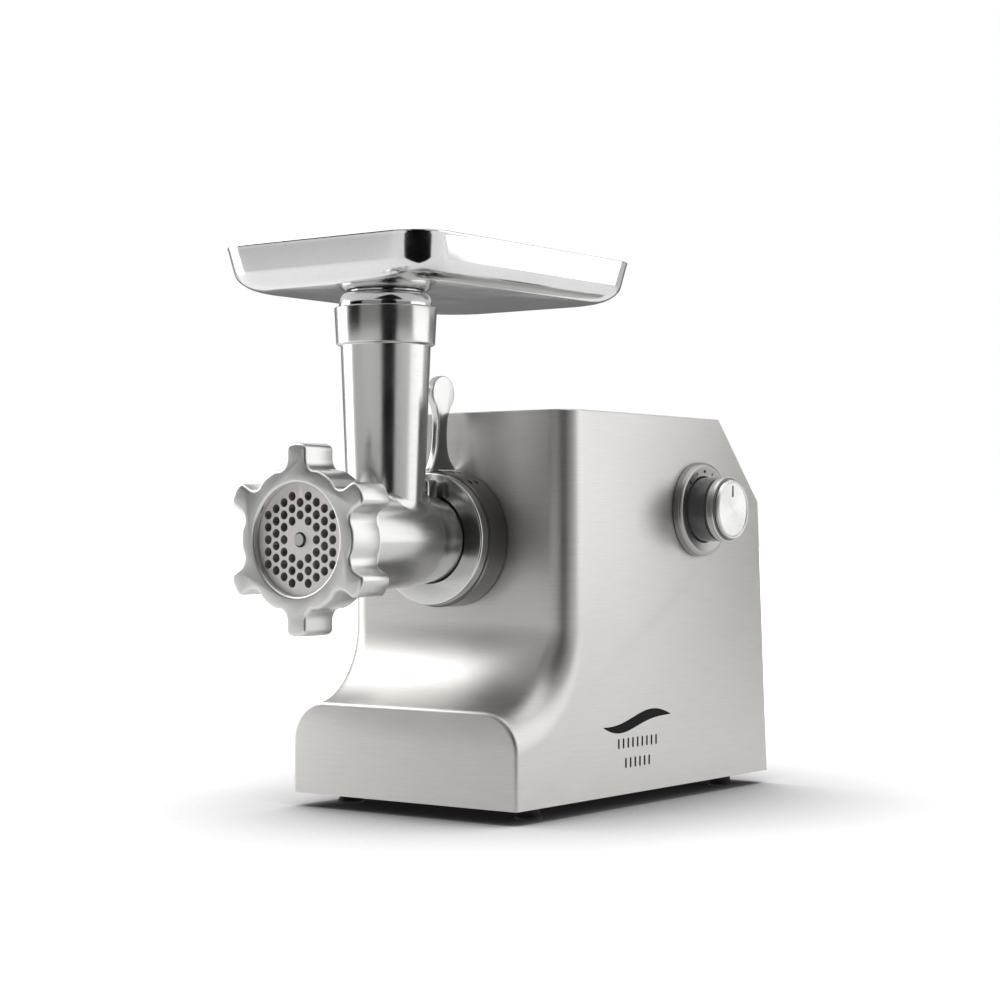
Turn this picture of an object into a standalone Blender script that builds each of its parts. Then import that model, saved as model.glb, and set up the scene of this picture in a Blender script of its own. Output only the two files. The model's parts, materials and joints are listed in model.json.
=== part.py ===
"""Electric meat grinder with a steel case, a geared motor and a bayonet grinding head.

Lengths are in millimetres and become metres when a mesh is made. X is to the right, Y to the
rear and Z up. The machine is drawn from the foot of its front plate (Y = 0) and its ground
(Z = 0), with the head's axis over X = 0, and an empty then centres it on the world's origin.
"""
import math

import bmesh
import bpy
from mathutils import Matrix, Vector

MM = 0.001

# ---- sides of a full circle ----
FINE = 32
MEDIUM = 20
COARSE = 12
SMALL = 8

# ---- fits ----
GAP = 0.3                # between two pieces that touch
SLIDE_GAP = 0.4          # radial, between a piece that slides or turns and its guide

# ---- steel case ----
AXIS_Z = 144.7           # axis of the head and the drive above the ground
CASE_WIDTH = 150.6
CASE_LENGTH = 251.2      # along the bottom edge
CASE_RISE = 68.0         # top of the case above the axis
CASE_TOP = AXIS_Z + CASE_RISE
CASE_FLOOR = 7.4         # bottom edge above the ground
CASE_WALL = 1.2
PLATE_TOP = 57.2         # top edge of the low front plate
FACE_Y = 45.8            # upright upper face, behind the front plate
EDGE_RADIUS = 2.4        # round the front plate
FOOT_CORNER_RADIUS = 21.0    # side corners where the cove leaves the front plate
FACE_CORNER_RADIUS = 13.5    # side corners of the upper face
CHAMFER_SETBACK = 55.2   # from the bottom's rear edge forward to the end of the top
CHAMFER_DROP = 46.7      # from the top down to the rear wall
REAR_SETBACK = 10.9      # by which the rear wall leans forward
TOP_REAR_Y = CASE_LENGTH - CHAMFER_SETBACK
CHAMFER_Y = CASE_LENGTH - REAR_SETBACK
CHAMFER_Z = CASE_TOP - CHAMFER_DROP

# ---- bottom, feet and back ----
BOTTOM_THICKNESS = 3.0
BOTTOM_RECESS = 0.5      # bottom cover above the case's edge
BOTTOM_SLOTS = 9
BOTTOM_SLOT_LENGTH = 46.0
BOTTOM_SLOT_WIDTH = 4.0
BOTTOM_SLOT_PITCH = 8.0
FOOT_RADIUS = 7.25
FOOT_NECK_RADIUS = 5.6
FOOT_INSET_X = 15.0
FOOT_INSET_FRONT = 31.0
FOOT_INSET_REAR = 29.0
SCREW_RADIUS = 1.5
SCREW_HEAD_RADIUS = 3.0
SCREW_HEAD_HEIGHT = 2.0
SCREW_PROUD = 2.0        # above the bottom cover
FOOT_BORE = SCREW_RADIUS + SLIDE_GAP
FOOT_RECESS_RADIUS = SCREW_HEAD_RADIUS + 0.6
FOOT_RECESS_DEPTH = SCREW_HEAD_HEIGHT + 1.6
PANEL_MARGIN = 27.3      # from the panel's edge to the rear wall's
PANEL_DROP = 4.0         # panel below the middle of the rear wall
PANEL_CORNER = 6.0
PANEL_FLANGE = 5.0
PANEL_THICKNESS = 2.4
PANEL_WIDTH = CASE_WIDTH - 2 * PANEL_MARGIN
PANEL_HEIGHT = CHAMFER_Z - CASE_FLOOR - 2 * PANEL_MARGIN
PANEL_SLOT_INSET = 17.0  # from the panel's sides
PANEL_SLOT_START = 14.0  # from its upper edge
PANEL_SLOT_HEIGHT = 4.0
PANEL_SLOT_PITCH = 8.0
PANEL_SLOT_SPACE = 11.0  # between the lowest slot and the cord's gland
INLET_BORE = 4.2
INLET_NECK_WALL = 2.0
INLET_RADIUS = INLET_BORE + 4.8
INLET_HEAD = 3.0         # how far the gland stands out
INLET_CHAMFER = 1.2
INLET_RISE = 16.0        # above the lower edge of the back panel

# ---- nut, plate and knife ----
PLATE_DIAMETER = 62.0    # a number 8 plate
PLATE_THICKNESS = 5.0
HOLE_DIAMETER = 4.6
HOLE_PITCH = 6.15
HOLE_SIDES = 6
STUD_RADIUS = 3.0
STUD_PROUD = 1.1         # in front of the plate
PLATE_CENTRE_BORE = STUD_RADIUS + 0.9
NUT_FACE_Y = -82.0
NUT_LIP = 3.0            # how far the nut reaches over the plate
NUT_LIP_THICKNESS = 3.4
NUT_DEPTH = 21.5
NUT_WALL = 3.6           # outside the thread
NUT_SKIRT_WALL = 2.2
NUT_SKIRT_LENGTH = 2.5
NUT_SPACE = 1.0          # from the skirt to the barrel's shoulder
NUT_LUG_HEIGHT = 11.0
NUT_LUG_WIDTH = 14.0
NUT_LUGS = 6
NUT_EDGE = 1.8
THREAD_WALL = 2.0        # from the plate's edge to the outside of the thread
PLATE_PROUD = 1.7        # in front of the barrel
PLATE_LEDGE = 2.6        # that the plate rests on
KNIFE_CLEARANCE = 1.9    # radial, in its chamber
KNIFE_HUB = 9.5
KNIFE_ARMS = 4
KNIFE_THICKNESS = 5.4
PLATE_FACE_Y = NUT_FACE_Y + NUT_LIP_THICKNESS + GAP
THREAD_RADIUS = PLATE_DIAMETER / 2 + THREAD_WALL
NUT_OPENING = PLATE_DIAMETER / 2 - NUT_LIP
NUT_RING_RADIUS = THREAD_RADIUS + SLIDE_GAP + NUT_WALL
NUT_SKIRT_RADIUS = THREAD_RADIUS + SLIDE_GAP + NUT_SKIRT_WALL
NUT_LUG_RADIUS = NUT_RING_RADIUS + NUT_LUG_HEIGHT
CHAMBER_RADIUS = PLATE_DIAMETER / 2 - PLATE_LEDGE
KNIFE_RADIUS = CHAMBER_RADIUS - KNIFE_CLEARANCE
KNIFE_FRONT_Y = PLATE_FACE_Y + PLATE_THICKNESS + GAP

# ---- auger and drive socket ----
AUGER_CORE = 9.0
AUGER_RADIUS = 21.5
AUGER_PITCH = 30.0
AUGER_SQUARE = 9.0
AUGER_SPACE = 1.2        # behind the knife
AUGER_NECK_RADIUS = 7.0
AUGER_TAIL_RADIUS = 5.0
AUGER_TAIL_LENGTH = 5.7  # inside the drive socket
SPIGOT_START_Y = FACE_Y - 25.8
BORE_END_Y = SPIGOT_START_Y - 9.0
AUGER_START_Y = KNIFE_FRONT_Y + KNIFE_THICKNESS + AUGER_SPACE
AUGER_END_Y = BORE_END_Y - 1.5
STUD_END_Y = PLATE_FACE_Y - STUD_PROUD
BUSH_WALL = 3.0
BUSH_WALL_END_Y = BORE_END_Y + 7.5
HEX_ACROSS_FLATS = 11.0
DRIVER_LENGTH = 17.2
DRIVER_CLEARANCE = 5.5   # radial, in the spigot
DRIVER_START_Y = BUSH_WALL_END_Y + 2.3
DRIVER_END_Y = DRIVER_START_Y + DRIVER_LENGTH
AUGER_TAIL_END_Y = DRIVER_START_Y + AUGER_TAIL_LENGTH
HEX_START_Y = AUGER_TAIL_END_Y + 2.5

# ---- head: barrel, spigot and feed tube ----
BARREL_WALL = 3.9
WAIST_WALL = 1.6         # where the barrel narrows to the spigot
SPIGOT_RADIUS = 23.0
SPIGOT_WALL = 3.5
SPIGOT_END_Y = FACE_Y - 1.8
SPIGOT_BORE = SPIGOT_RADIUS - SPIGOT_WALL
DRIVER_RADIUS = SPIGOT_BORE - DRIVER_CLEARANCE
BORE_RADIUS = AUGER_RADIUS + 0.8
BARREL_RADIUS = BORE_RADIUS + BARREL_WALL    # behind the shoulder
BARREL_FRONT_Y = PLATE_FACE_Y + PLATE_PROUD
SHOULDER_Y = NUT_FACE_Y + NUT_DEPTH + NUT_SKIRT_LENGTH + NUT_SPACE
SHOULDER_RADIUS = THREAD_RADIUS - BARREL_RADIUS + 0.2
CHAMBER_END_Y = AUGER_START_Y + 1.0
FEED_Y = -12.0
FEED_BASE_RADIUS = 20.4
FEED_WALL = 1.8
FEED_BORE = FEED_BASE_RADIUS - FEED_WALL
COLLAR_RISE = 100.3      # collar's foot above the head's axis
COLLAR_HEIGHT = 19.5
COLLAR_RADIUS = 25.6
COLLAR_WALL = 3.2
COLLAR_STEP = 2.3        # from the tube out to the collar
COLLAR_FLARE = 1.0
COLLAR_BORE = COLLAR_RADIUS - COLLAR_WALL
FEED_TOP_RADIUS = COLLAR_RADIUS - COLLAR_STEP
COLLAR_BOTTOM = AXIS_Z + COLLAR_RISE
COLLAR_TOP = COLLAR_BOTTOM + COLLAR_HEIGHT
COLLAR_SEAT = COLLAR_BOTTOM + 4.5
RIB_THICKNESS = 5.0
RIB_REACH = 6.5          # behind the feed tube
RIB_TOP = COLLAR_BOTTOM - 33.0

# ---- tray ----
TRAY_WIDTH = 140.3
TRAY_LENGTH = 193.3
TRAY_REACH = 57.4        # in front of the feed tube's axis
TRAY_DEPTH = 21.6
TRAY_RISE = 8.2          # above the collar
TRAY_LEAN = 3.5          # how far each wall leans in
TRAY_CORNER_RADIUS = 17.0
TRAY_EDGE_RADIUS = 9.0
TRAY_WALL = 1.2
TRAY_LIP = 1.4
TRAY_FRONT_Y = FEED_Y - TRAY_REACH
TRAY_BOTTOM = COLLAR_TOP + TRAY_RISE
TRAY_TOP = TRAY_BOTTOM + TRAY_DEPTH
NECK_WALL = 1.8
THROAT_RADIUS = COLLAR_BORE - 3.0
NECK_SHOULDER_RADIUS = COLLAR_RADIUS - 1.3
NECK_DEPTH = COLLAR_TOP - COLLAR_SEAT - 2.0    # how far the neck goes into the collar

# ---- boss, lock ring and lever ----
LOCK_WALL = 11.9
LOCK_DEPTH = 6.0
LOCK_FRONT_Y = SPIGOT_START_Y + 3.7
LOCK_RADIUS = SPIGOT_RADIUS + SLIDE_GAP + LOCK_WALL
BOSS_RADIUS = LOCK_RADIUS + 1.1
BOSS_NECK_RADIUS = SPIGOT_RADIUS + SLIDE_GAP + 6.6
LEVER_THICKNESS = 4.6
LEVER_RISE = 41.4        # paddle's centre above the boss
LEVER_HEIGHT = BOSS_RADIUS + LEVER_RISE
LEVER_Y = LOCK_FRONT_Y + 10.3
PADDLE_RADIUS = 9.3
PAD_WIDTH = 16.0
PAD_DEPTH = 9.0
PAD_REAR_Y = LOCK_FRONT_Y - 2.2
PAD_FRONT_Y = PAD_REAR_Y - PAD_DEPTH
PAD_TOP = AXIS_Z + BARREL_RADIUS + 5.1

# ---- gears ----
PRESSURE_ANGLE = math.radians(25)
ADDENDUM = 0.8           # modules
DEDENDUM = 1.15          # modules
BACKLASH = 0.28          # modules, shared by the two gears
PINION_TEETH = 10
FIRST_MODULE = 1.25
FIRST_TEETH = 44
SECOND_MODULE = 1.5
SECOND_TEETH = 38
OUTPUT_MODULE = 2.0
OUTPUT_TEETH = 34
SECOND_DIRECTION = math.radians(-60)     # from the output shaft to the second shaft
FIRST_DIRECTION = math.radians(-150)     # from the second shaft to the first
MOTOR_DIRECTION = math.radians(-73.0)    # from the first shaft to the motor
OUTPUT_GEAR_WIDTH = 10.0
SECOND_GEAR_WIDTH = 7.0
FIRST_GEAR_WIDTH = 5.0
LAYER_SPACE = 3.0
PINION_EXTRA = 0.3       # a pinion stands proud of its wheel by this at each end

# ---- gearbox ----
GEARBOX_WALL = 4.0
GEARBOX_SIDE_WALL = 2.6
GEARBOX_CLEARANCE = 4.5  # from the tips of the wheels to the side wall
GEARBOX_CORNER = 12.0
GEARBOX_SPACE = 3.0      # behind the sheet of the upper face
SHAFT_RADIUS = 4.0
SHAFT_BUSH_WALL = 2.6
SHAFT_BUSH_RADIUS = SHAFT_RADIUS + SLIDE_GAP + SHAFT_BUSH_WALL
OUTPUT_SHAFT_RADIUS = 7.0
OUTPUT_BEARING_WALL = 6.6
OUTPUT_BEARING_RADIUS = OUTPUT_SHAFT_RADIUS + SLIDE_GAP + OUTPUT_BEARING_WALL
OUTPUT_BEARING_WIDTH = 6.5

# ---- motor ----
MOTOR_SPACE = 2.0        # along the shaft, between the coils and what is next to them
STATOR_SIZE = 72.0
STATOR_LENGTH = 40.0
STATOR_CORNER = 9.0
STATOR_BORE = 21.4
ARMATURE_RADIUS = STATOR_BORE - 0.8
ARMATURE_LENGTH = STATOR_LENGTH + 2.0
ARMATURE_SLOTS = 12
WINDING_RADIUS = ARMATURE_RADIUS - 4.6
COIL_SIDE = 6.4
COIL_LENGTH = 71.0
COIL_LOW = 6.2
COIL_HIGH = 16.0
COIL_WIDTH = 2 * (ARMATURE_RADIUS + 1.0 + COIL_SIDE)
WINDING_LENGTH = COIL_LENGTH - 2 * COIL_SIDE - 4.2
STATOR_WINDOW_HALF_WIDTH = COIL_WIDTH / 2 + 1.6
STATOR_WINDOW_HALF_HEIGHT = COIL_HIGH + 1.4
COMMUTATOR_RADIUS = 11.0
COMMUTATOR_LENGTH = 15.0
COMMUTATOR_BARS = 16
FAN_RADIUS = 28.0
FAN_HUB = 11.0
FAN_WIDTH = 9.0
FAN_BLADES = 9
BRACKET_WIDTH = STATOR_SIZE + 12.0
BRACKET_THICKNESS = 4.0
MOTOR_BEARING_RADIUS = SHAFT_RADIUS + SLIDE_GAP + 5.1
BOLT_OFFSET = STATOR_SIZE / 2 - 7.0
BOLT_RADIUS = 2.0
BRUSH_HEIGHT = 5.0
BRUSH_WIDTH = 7.0
BRUSH_LENGTH = 16.0
BRUSH_HOLDER_WALL = 2.2

# ---- speed knob ----
KNOB_Y = CASE_LENGTH - 78.2
KNOB_Z = CASE_TOP - 51.7
KNOB_RADIUS = 18.0
KNOB_LENGTH = 20.0
KNOB_START = 1.0         # above the side of the case
BEZEL_RADIUS = KNOB_RADIUS + 8.5
BEZEL_THICKNESS = 5.0
CAP_RADIUS = KNOB_RADIUS - 1.6
CAP_THICKNESS = 2.2
STEM_RADIUS = 3.5
STEM_LENGTH = 16.0
SWITCH_SIZE = 32.0
SWITCH_DEPTH = 26.0

# ---- finishes: colour, roughness, metallic ----
BRUSHED_STEEL = ((0.62, 0.61, 0.60), 0.34, 1.0)
POLISHED_ALUMINIUM = ((0.80, 0.80, 0.80), 0.16, 1.0)
CAST_ALUMINIUM = ((0.72, 0.72, 0.71), 0.42, 1.0)
HARD_STEEL = ((0.52, 0.52, 0.52), 0.28, 1.0)
BLACK_RUBBER = ((0.02, 0.02, 0.02), 0.75, 0.0)
BLACK_PLASTIC = ((0.03, 0.03, 0.03), 0.5, 0.0)
GREY_PLASTIC = ((0.42, 0.42, 0.43), 0.3, 0.0)
WHITE_PLASTIC = ((0.75, 0.74, 0.70), 0.45, 0.0)
BRONZE = ((0.55, 0.38, 0.18), 0.35, 1.0)
COPPER = ((0.72, 0.36, 0.20), 0.35, 1.0)
CARBON = ((0.05, 0.05, 0.05), 0.6, 0.0)

# ---- turn of an object so that its local Z lies along the axis ----
UP = (0, 0, 0)
ALONG_Y = (-90, 0, 0)
ALONG_X = (0, 90, 0)
FLAT_XZ = (90, 0, 0)     # an outline's x and y become X and Z
FLAT_YZ = (90, 0, 90)    # an outline's x and y become Y and Z


# ---------------------------------------------------------------- scene and objects

def clear_scene():
    """Remove the objects that are already in the file."""
    for obj in list(bpy.data.objects):
        bpy.data.objects.remove(obj, do_unlink=True)


def new_collection(name):
    """Make a collection under the scene's own."""
    collection = bpy.data.collections.new(name)
    bpy.context.scene.collection.children.link(collection)
    return collection


clear_scene()
PARTS = new_collection("meat_grinder")
CUTTERS = new_collection("cutters")
MACHINE = bpy.data.objects.new("machine_origin", None)
PARTS.objects.link(MACHINE)


def make_material(name, finish):
    """Make a Principled material from a finish."""
    colour, roughness, metallic = finish
    material = bpy.data.materials.new(name)
    material.use_nodes = True
    shader = material.node_tree.nodes["Principled BSDF"]
    shader.inputs["Base Color"].default_value = (*colour, 1.0)
    shader.inputs["Roughness"].default_value = roughness
    shader.inputs["Metallic"].default_value = metallic
    return material


def place(name, mesh, finish, at=(0, 0, 0), turn=UP):
    """Put a mesh in the scene. With no finish it is a cutter."""
    obj = bpy.data.objects.new(name, mesh)
    if finish is None:
        CUTTERS.objects.link(obj)
        obj.hide_render = True
        obj.display_type = "WIRE"
    else:
        PARTS.objects.link(obj)
        mesh.materials.append(make_material(name + "_finish", finish))
    obj.parent = MACHINE
    obj.location = [value * MM for value in at]
    obj.rotation_euler = [math.radians(angle) for angle in turn]
    return obj


def mesh_from(bm, name, angle=30):
    """Turn a bmesh into a smooth mesh with sharp edges above an angle."""
    mesh = bpy.data.meshes.new(name)
    bm.to_mesh(mesh)
    bm.free()
    mesh.shade_smooth()
    mesh.set_sharp_from_angle(angle=math.radians(angle))
    return mesh


def bevel(obj, width, segments=2, angle=50):
    """Round the sharp edges of an object."""
    modifier = obj.modifiers.new("rounded_edges", "BEVEL")
    modifier.width = width * MM
    modifier.segments = segments
    modifier.limit_method = "ANGLE"
    modifier.angle_limit = math.radians(angle)
    return obj


def boolean(obj, other, operation):
    """Add a Boolean with another object."""
    modifier = obj.modifiers.new(operation.lower() + "_" + other.name, "BOOLEAN")
    modifier.operation = operation
    modifier.solver = "EXACT"
    modifier.object = other
    return obj


def cut(obj, *cutters):
    """Take cutters away from an object."""
    for cutter in cutters:
        boolean(obj, cutter, "DIFFERENCE")
    return obj


def join(obj, *others):
    """Unite an object with other shapes."""
    for other in others:
        boolean(obj, other, "UNION")
    return obj


# ---------------------------------------------------------------- basic shapes

def box(name, low, high, finish):
    """Make a box between two corners, with its origin at its middle."""
    size = [b - a for a, b in zip(low, high)]
    middle = [(a + b) / 2 for a, b in zip(low, high)]
    bm = bmesh.new()
    bmesh.ops.create_cube(bm, size=MM, matrix=Matrix.Diagonal((*size, 1.0)))
    return place(name, mesh_from(bm, name), finish, middle)


def rod(name, radius, start, end, centre, finish, axis=ALONG_Y, sides=MEDIUM):
    """Make a cylinder from start to end along an axis, through a centre in the other two."""
    at = {ALONG_Y: (centre[0], 0, centre[1]), ALONG_X: (0, centre[0], centre[1]),
          UP: (centre[0], centre[1], 0)}[axis]
    bm = bmesh.new()
    bmesh.ops.create_cone(bm, cap_ends=True, segments=sides, radius1=radius * MM,
                          radius2=radius * MM, depth=(end - start) * MM,
                          matrix=Matrix.Translation((0, 0, (start + end) / 2 * MM)))
    return place(name, mesh_from(bm, name), finish, at, axis)


def turned(name, profile, finish, at=(0, 0, 0), axis=ALONG_Y, steps=FINE):
    """Turn a profile of (radius, height) points, given from its top down its outer side.

    A profile that starts and ends on the axis is a solid, and any other is a closed ring.
    """
    solid = profile[0][0] == 0 and profile[-1][0] == 0
    bm = bmesh.new()
    verts = [bm.verts.new((radius * MM, 0, height * MM)) for radius, height in profile]
    for first, second in zip(verts, verts[1:]):
        bm.edges.new((first, second))
    if not solid:
        bm.edges.new((verts[-1], verts[0]))
    mesh = bpy.data.meshes.new(name)
    bm.to_mesh(mesh)
    bm.free()
    obj = place(name, mesh, finish, at, axis)
    screw = obj.modifiers.new("turned", "SCREW")
    screw.steps = steps
    screw.render_steps = steps
    screw.use_merge_vertices = True
    screw.merge_threshold = 0.00001
    screw.use_smooth_shade = True
    return obj


def ring(name, outer, inner, start, end, centre, finish, axis=ALONG_Y, steps=MEDIUM):
    """Make a plain ring from start to end along an axis."""
    at = {ALONG_Y: (centre[0], start, centre[1]), ALONG_X: (start, centre[0], centre[1]),
          UP: (centre[0], centre[1], start)}[axis]
    length = end - start
    profile = [(inner, length), (outer, length), (outer, 0), (inner, 0)]
    return turned(name, profile, finish, at, axis, steps)


def arc(centre, radius, start, end, segments):
    """Points of an arc, with angles in degrees."""
    angles = [math.radians(start + (end - start) * i / segments) for i in range(segments + 1)]
    return [(centre[0] + radius * math.cos(a), centre[1] + radius * math.sin(a)) for a in angles]


def circle(radius, sides, centre=(0, 0)):
    """Points of a full circle."""
    return arc(centre, radius, 0, 360, sides)[:-1]


def rounded_rectangle(width, height, radius, segments=5, centre=(0, 0)):
    """Points of a rectangle with round corners, anticlockwise."""
    points = []
    for index, (sx, sy) in enumerate(((1, 1), (-1, 1), (-1, -1), (1, -1))):
        corner = (centre[0] + sx * (width / 2 - radius), centre[1] + sy * (height / 2 - radius))
        points += arc(corner, radius, 90 * index, 90 * index + 90, segments)
    return points


def prism(name, outlines, start, end, finish, centre=(0, 0), turn=FLAT_XZ):
    """Extrude flat outlines, the first one the edge and the others holes.

    They lie round the centre, in the plane across the axis, and reach from start to end.
    """
    curve = bpy.data.curves.new(name, "CURVE")
    curve.dimensions = "2D"
    curve.fill_mode = "BOTH"
    curve.extrude = (end - start) / 2 * MM
    for outline in outlines:
        spline = curve.splines.new("POLY")
        spline.points.add(len(outline) - 1)
        spline.use_cyclic_u = True
        for point, (x, y) in zip(spline.points, outline):
            point.co = (x * MM, y * MM, 0, 1)
    sheet = bpy.data.objects.new(name + "_outline", curve)
    CUTTERS.objects.link(sheet)
    bpy.context.view_layer.update()
    evaluated = sheet.evaluated_get(bpy.context.evaluated_depsgraph_get())
    flat = bpy.data.meshes.new_from_object(evaluated)
    bm = bmesh.new()
    bm.from_mesh(flat)
    bmesh.ops.remove_doubles(bm, verts=bm.verts, dist=0.000001)
    bmesh.ops.recalc_face_normals(bm, faces=bm.faces)
    bpy.data.objects.remove(sheet)
    bpy.data.meshes.remove(flat)
    middle = (start + end) / 2
    at = {FLAT_XZ: (centre[0], middle, centre[1]), FLAT_YZ: (middle, centre[0], centre[1]),
          UP: (centre[0], centre[1], middle)}[turn]
    return place(name, mesh_from(bm, name), finish, at, turn)


# ---------------------------------------------------------------- case

def rear_y(z):
    """Outer face of the sloping rear wall at a height."""
    share = (z - CASE_FLOOR) / (CHAMFER_Z - CASE_FLOOR)
    return CASE_LENGTH + (CHAMFER_Y - CASE_LENGTH) * share


def rear_lean():
    """Angle in degrees by which the rear wall leans forward."""
    return math.degrees(math.atan2(CASE_LENGTH - CHAMFER_Y, CHAMFER_Z - CASE_FLOOR))


def front_sections():
    """Rows of points over the cove and the upper face, each from the left side to the right.

    A row lies square to the side view of the front: it crosses the flat front and bends round
    a corner into each side, with a radius that shrinks as the cove climbs.
    """
    cove_radius = FACE_Y - EDGE_RADIUS
    cove_rows = 9
    corner_segments = 5
    rows = []
    for step in range(cove_rows + 2):
        turn = min(step, cove_rows) / cove_rows
        angle = turn * math.pi / 2
        if step <= cove_rows:
            y = EDGE_RADIUS + cove_radius * math.sin(angle)
            z = PLATE_TOP + cove_radius * (1 - math.cos(angle))
        else:
            y, z = FACE_Y, CASE_TOP
        inward = Vector((math.sin(angle), -math.cos(angle)))
        radius = FOOT_CORNER_RADIUS + (FACE_CORNER_RADIUS - FOOT_CORNER_RADIUS) * turn
        row = []
        for side in (-1, 1):
            corner = []
            for i in range(corner_segments + 1):
                a = math.pi / 2 * i / corner_segments
                x = side * (CASE_WIDTH / 2 - radius * (1 - math.sin(a)))
                depth = radius * (1 - math.cos(a))
                corner.append((x, y + inward[0] * depth, z + inward[1] * depth))
            row += corner[::-1] if side < 0 else corner
        rows.append(row)
    return rows


def case_surface():
    """Open outer surface of the case: everything but its bottom."""
    rows = front_sections()
    half = CASE_WIDTH / 2
    # The first row, closed down to the bottom edge, is the outline of the front plate.
    outline = [(-half, CASE_FLOOR)] + [(x, z) for x, _, z in rows[0]]
    outline += [(half, CASE_FLOOR)]
    bm = bmesh.new()

    def row_of(points):
        return [bm.verts.new(Vector(p) * MM) for p in points]

    def bridge(first, second):
        for a, b, c, d in zip(first, first[1:], second[1:], second):
            bm.faces.new((a, b, c, d))

    plate = rounded_plate_rows(outline)
    plate_rows = [row_of(points) for points in plate]
    for first, second in zip(plate_rows, plate_rows[1:]):
        bridge(first, second)
    bm.faces.new(plate_rows[0][::-1])

    front = [plate_rows[-1][1:-1]] + [row_of(row) for row in rows[1:]]
    for first, second in zip(front, front[1:]):
        bridge(first, second)

    profile = ((TOP_REAR_Y, CASE_TOP), (CHAMFER_Y, CHAMFER_Z), (CASE_LENGTH, CASE_FLOOR))
    left = row_of([(-half, y, z) for y, z in profile])
    right = row_of([(half, y, z) for y, z in profile])
    bridge(left, right)
    bm.faces.new(front[-1] + [right[0], left[0]])
    for side, low, column in ((left, plate_rows[-1][0], [row[0] for row in front]),
                              (right, plate_rows[-1][-1], [row[-1] for row in front])):
        bm.faces.new([low] + column + side)
    bmesh.ops.recalc_face_normals(bm, faces=bm.faces)
    if sum((f.normal.y * f.calc_area() for f in bm.faces if f.calc_center_median().y < MM)) > 0:
        bmesh.ops.reverse_faces(bm, faces=bm.faces)
    return mesh_from(bm, "casing")


def rounded_plate_rows(outline):
    """Rows from the flat of the front plate round its edge to full size.

    The edge isn't rounded along the bottom, where the case ends.
    """
    segments = 3
    rows = []
    for step in range(segments + 1):
        angle = math.pi / 2 * step / segments
        inset = EDGE_RADIUS * (1 - math.sin(angle))
        y = EDGE_RADIUS * (1 - math.cos(angle))
        row = []
        for index, (x, z) in enumerate(outline):
            before = Vector(outline[max(index - 1, 0)])
            after = Vector(outline[min(index + 1, len(outline) - 1)])
            along = (after - before).normalized()
            normal = Vector((-along.y, along.x))
            if index in (0, len(outline) - 1):
                normal = Vector((-1 if index == 0 else 1, 0))
            row.append((x - normal.x * inset, y, z - normal.y * inset))
        rows.append(row)
    return rows


def make_casing():
    """Steel case: one folded and welded skin, open at the bottom."""
    casing = place("casing", case_surface(), BRUSHED_STEEL)
    shell = casing.modifiers.new("sheet_thickness", "SOLIDIFY")
    shell.thickness = CASE_WALL * MM
    shell.offset = -1
    shell.use_even_offset = True
    shell.use_quality_normals = True
    drive = rod("cut_drive_opening", BOSS_NECK_RADIUS + GAP, FACE_Y - 5, FACE_Y + 5,
                (0, AXIS_Z), None, sides=FINE)
    stem = rod("cut_knob_stem", STEM_RADIUS + 1.5, CASE_WIDTH / 2 - 5, CASE_WIDTH / 2 + 5,
               (KNOB_Y, KNOB_Z), None, axis=ALONG_X)
    middle_z = panel_middle()
    window = prism("cut_back_window",
                   [rounded_rectangle(PANEL_WIDTH, PANEL_HEIGHT, PANEL_CORNER)], -4, 4, None)
    window.location = (0, rear_y(middle_z) * MM, middle_z * MM)
    window.rotation_euler = (math.radians(90 + rear_lean()), 0, 0)
    cut(casing, drive, stem, window)


def panel_middle():
    """Height of the middle of the back panel."""
    return (CASE_FLOOR + CHAMFER_Z) / 2 - PANEL_DROP


def inlet_height():
    """Height of the cord inlet."""
    return panel_middle() - PANEL_HEIGHT / 2 + INLET_RISE


def make_back_panel():
    """Moulded back panel: a plug that fills the window, with a flange inside the case."""
    middle = panel_middle()
    slots = []
    room = PANEL_HEIGHT - PANEL_SLOT_START - PANEL_SLOT_SPACE - INLET_RISE - INLET_RADIUS
    for index in range(int(room / PANEL_SLOT_PITCH) + 1):
        height = PANEL_HEIGHT / 2 - PANEL_SLOT_START - index * PANEL_SLOT_PITCH
        slots.append(rounded_rectangle(PANEL_WIDTH - 2 * PANEL_SLOT_INSET, PANEL_SLOT_HEIGHT,
                                       0.475 * PANEL_SLOT_HEIGHT, 1, (0, height)))
    inlet = circle(INLET_BORE + INLET_NECK_WALL, 20, (0, inlet_height() - middle))
    plug = rounded_rectangle(PANEL_WIDTH - 2 * GAP, PANEL_HEIGHT - 2 * GAP, PANEL_CORNER - GAP)
    flange = rounded_rectangle(PANEL_WIDTH + 2 * PANEL_FLANGE, PANEL_HEIGHT + 2 * PANEL_FLANGE,
                               PANEL_CORNER + 2.0)
    reach = CASE_WALL + GAP
    panel = prism("back_panel", [flange], -reach - PANEL_THICKNESS, -reach, BLACK_PLASTIC)
    front = prism("back_panel_plug", [plug], -reach - PANEL_THICKNESS / 2, 0, None)
    openings = prism("cut_back_openings", slots + [inlet], -10, 5, None)
    lean = math.radians(rear_lean())
    outward = Vector((0, math.cos(lean), math.sin(lean)))
    face = Vector((0, rear_y(middle), middle))
    for piece, offset in ((panel, -reach - PANEL_THICKNESS / 2),
                          (front, -(reach + PANEL_THICKNESS / 2) / 2), (openings, -2.5)):
        piece.location = (face + outward * offset) * MM
        piece.rotation_euler = (math.radians(90) + lean, 0, 0)
    cut(join(panel, front), openings)


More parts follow.
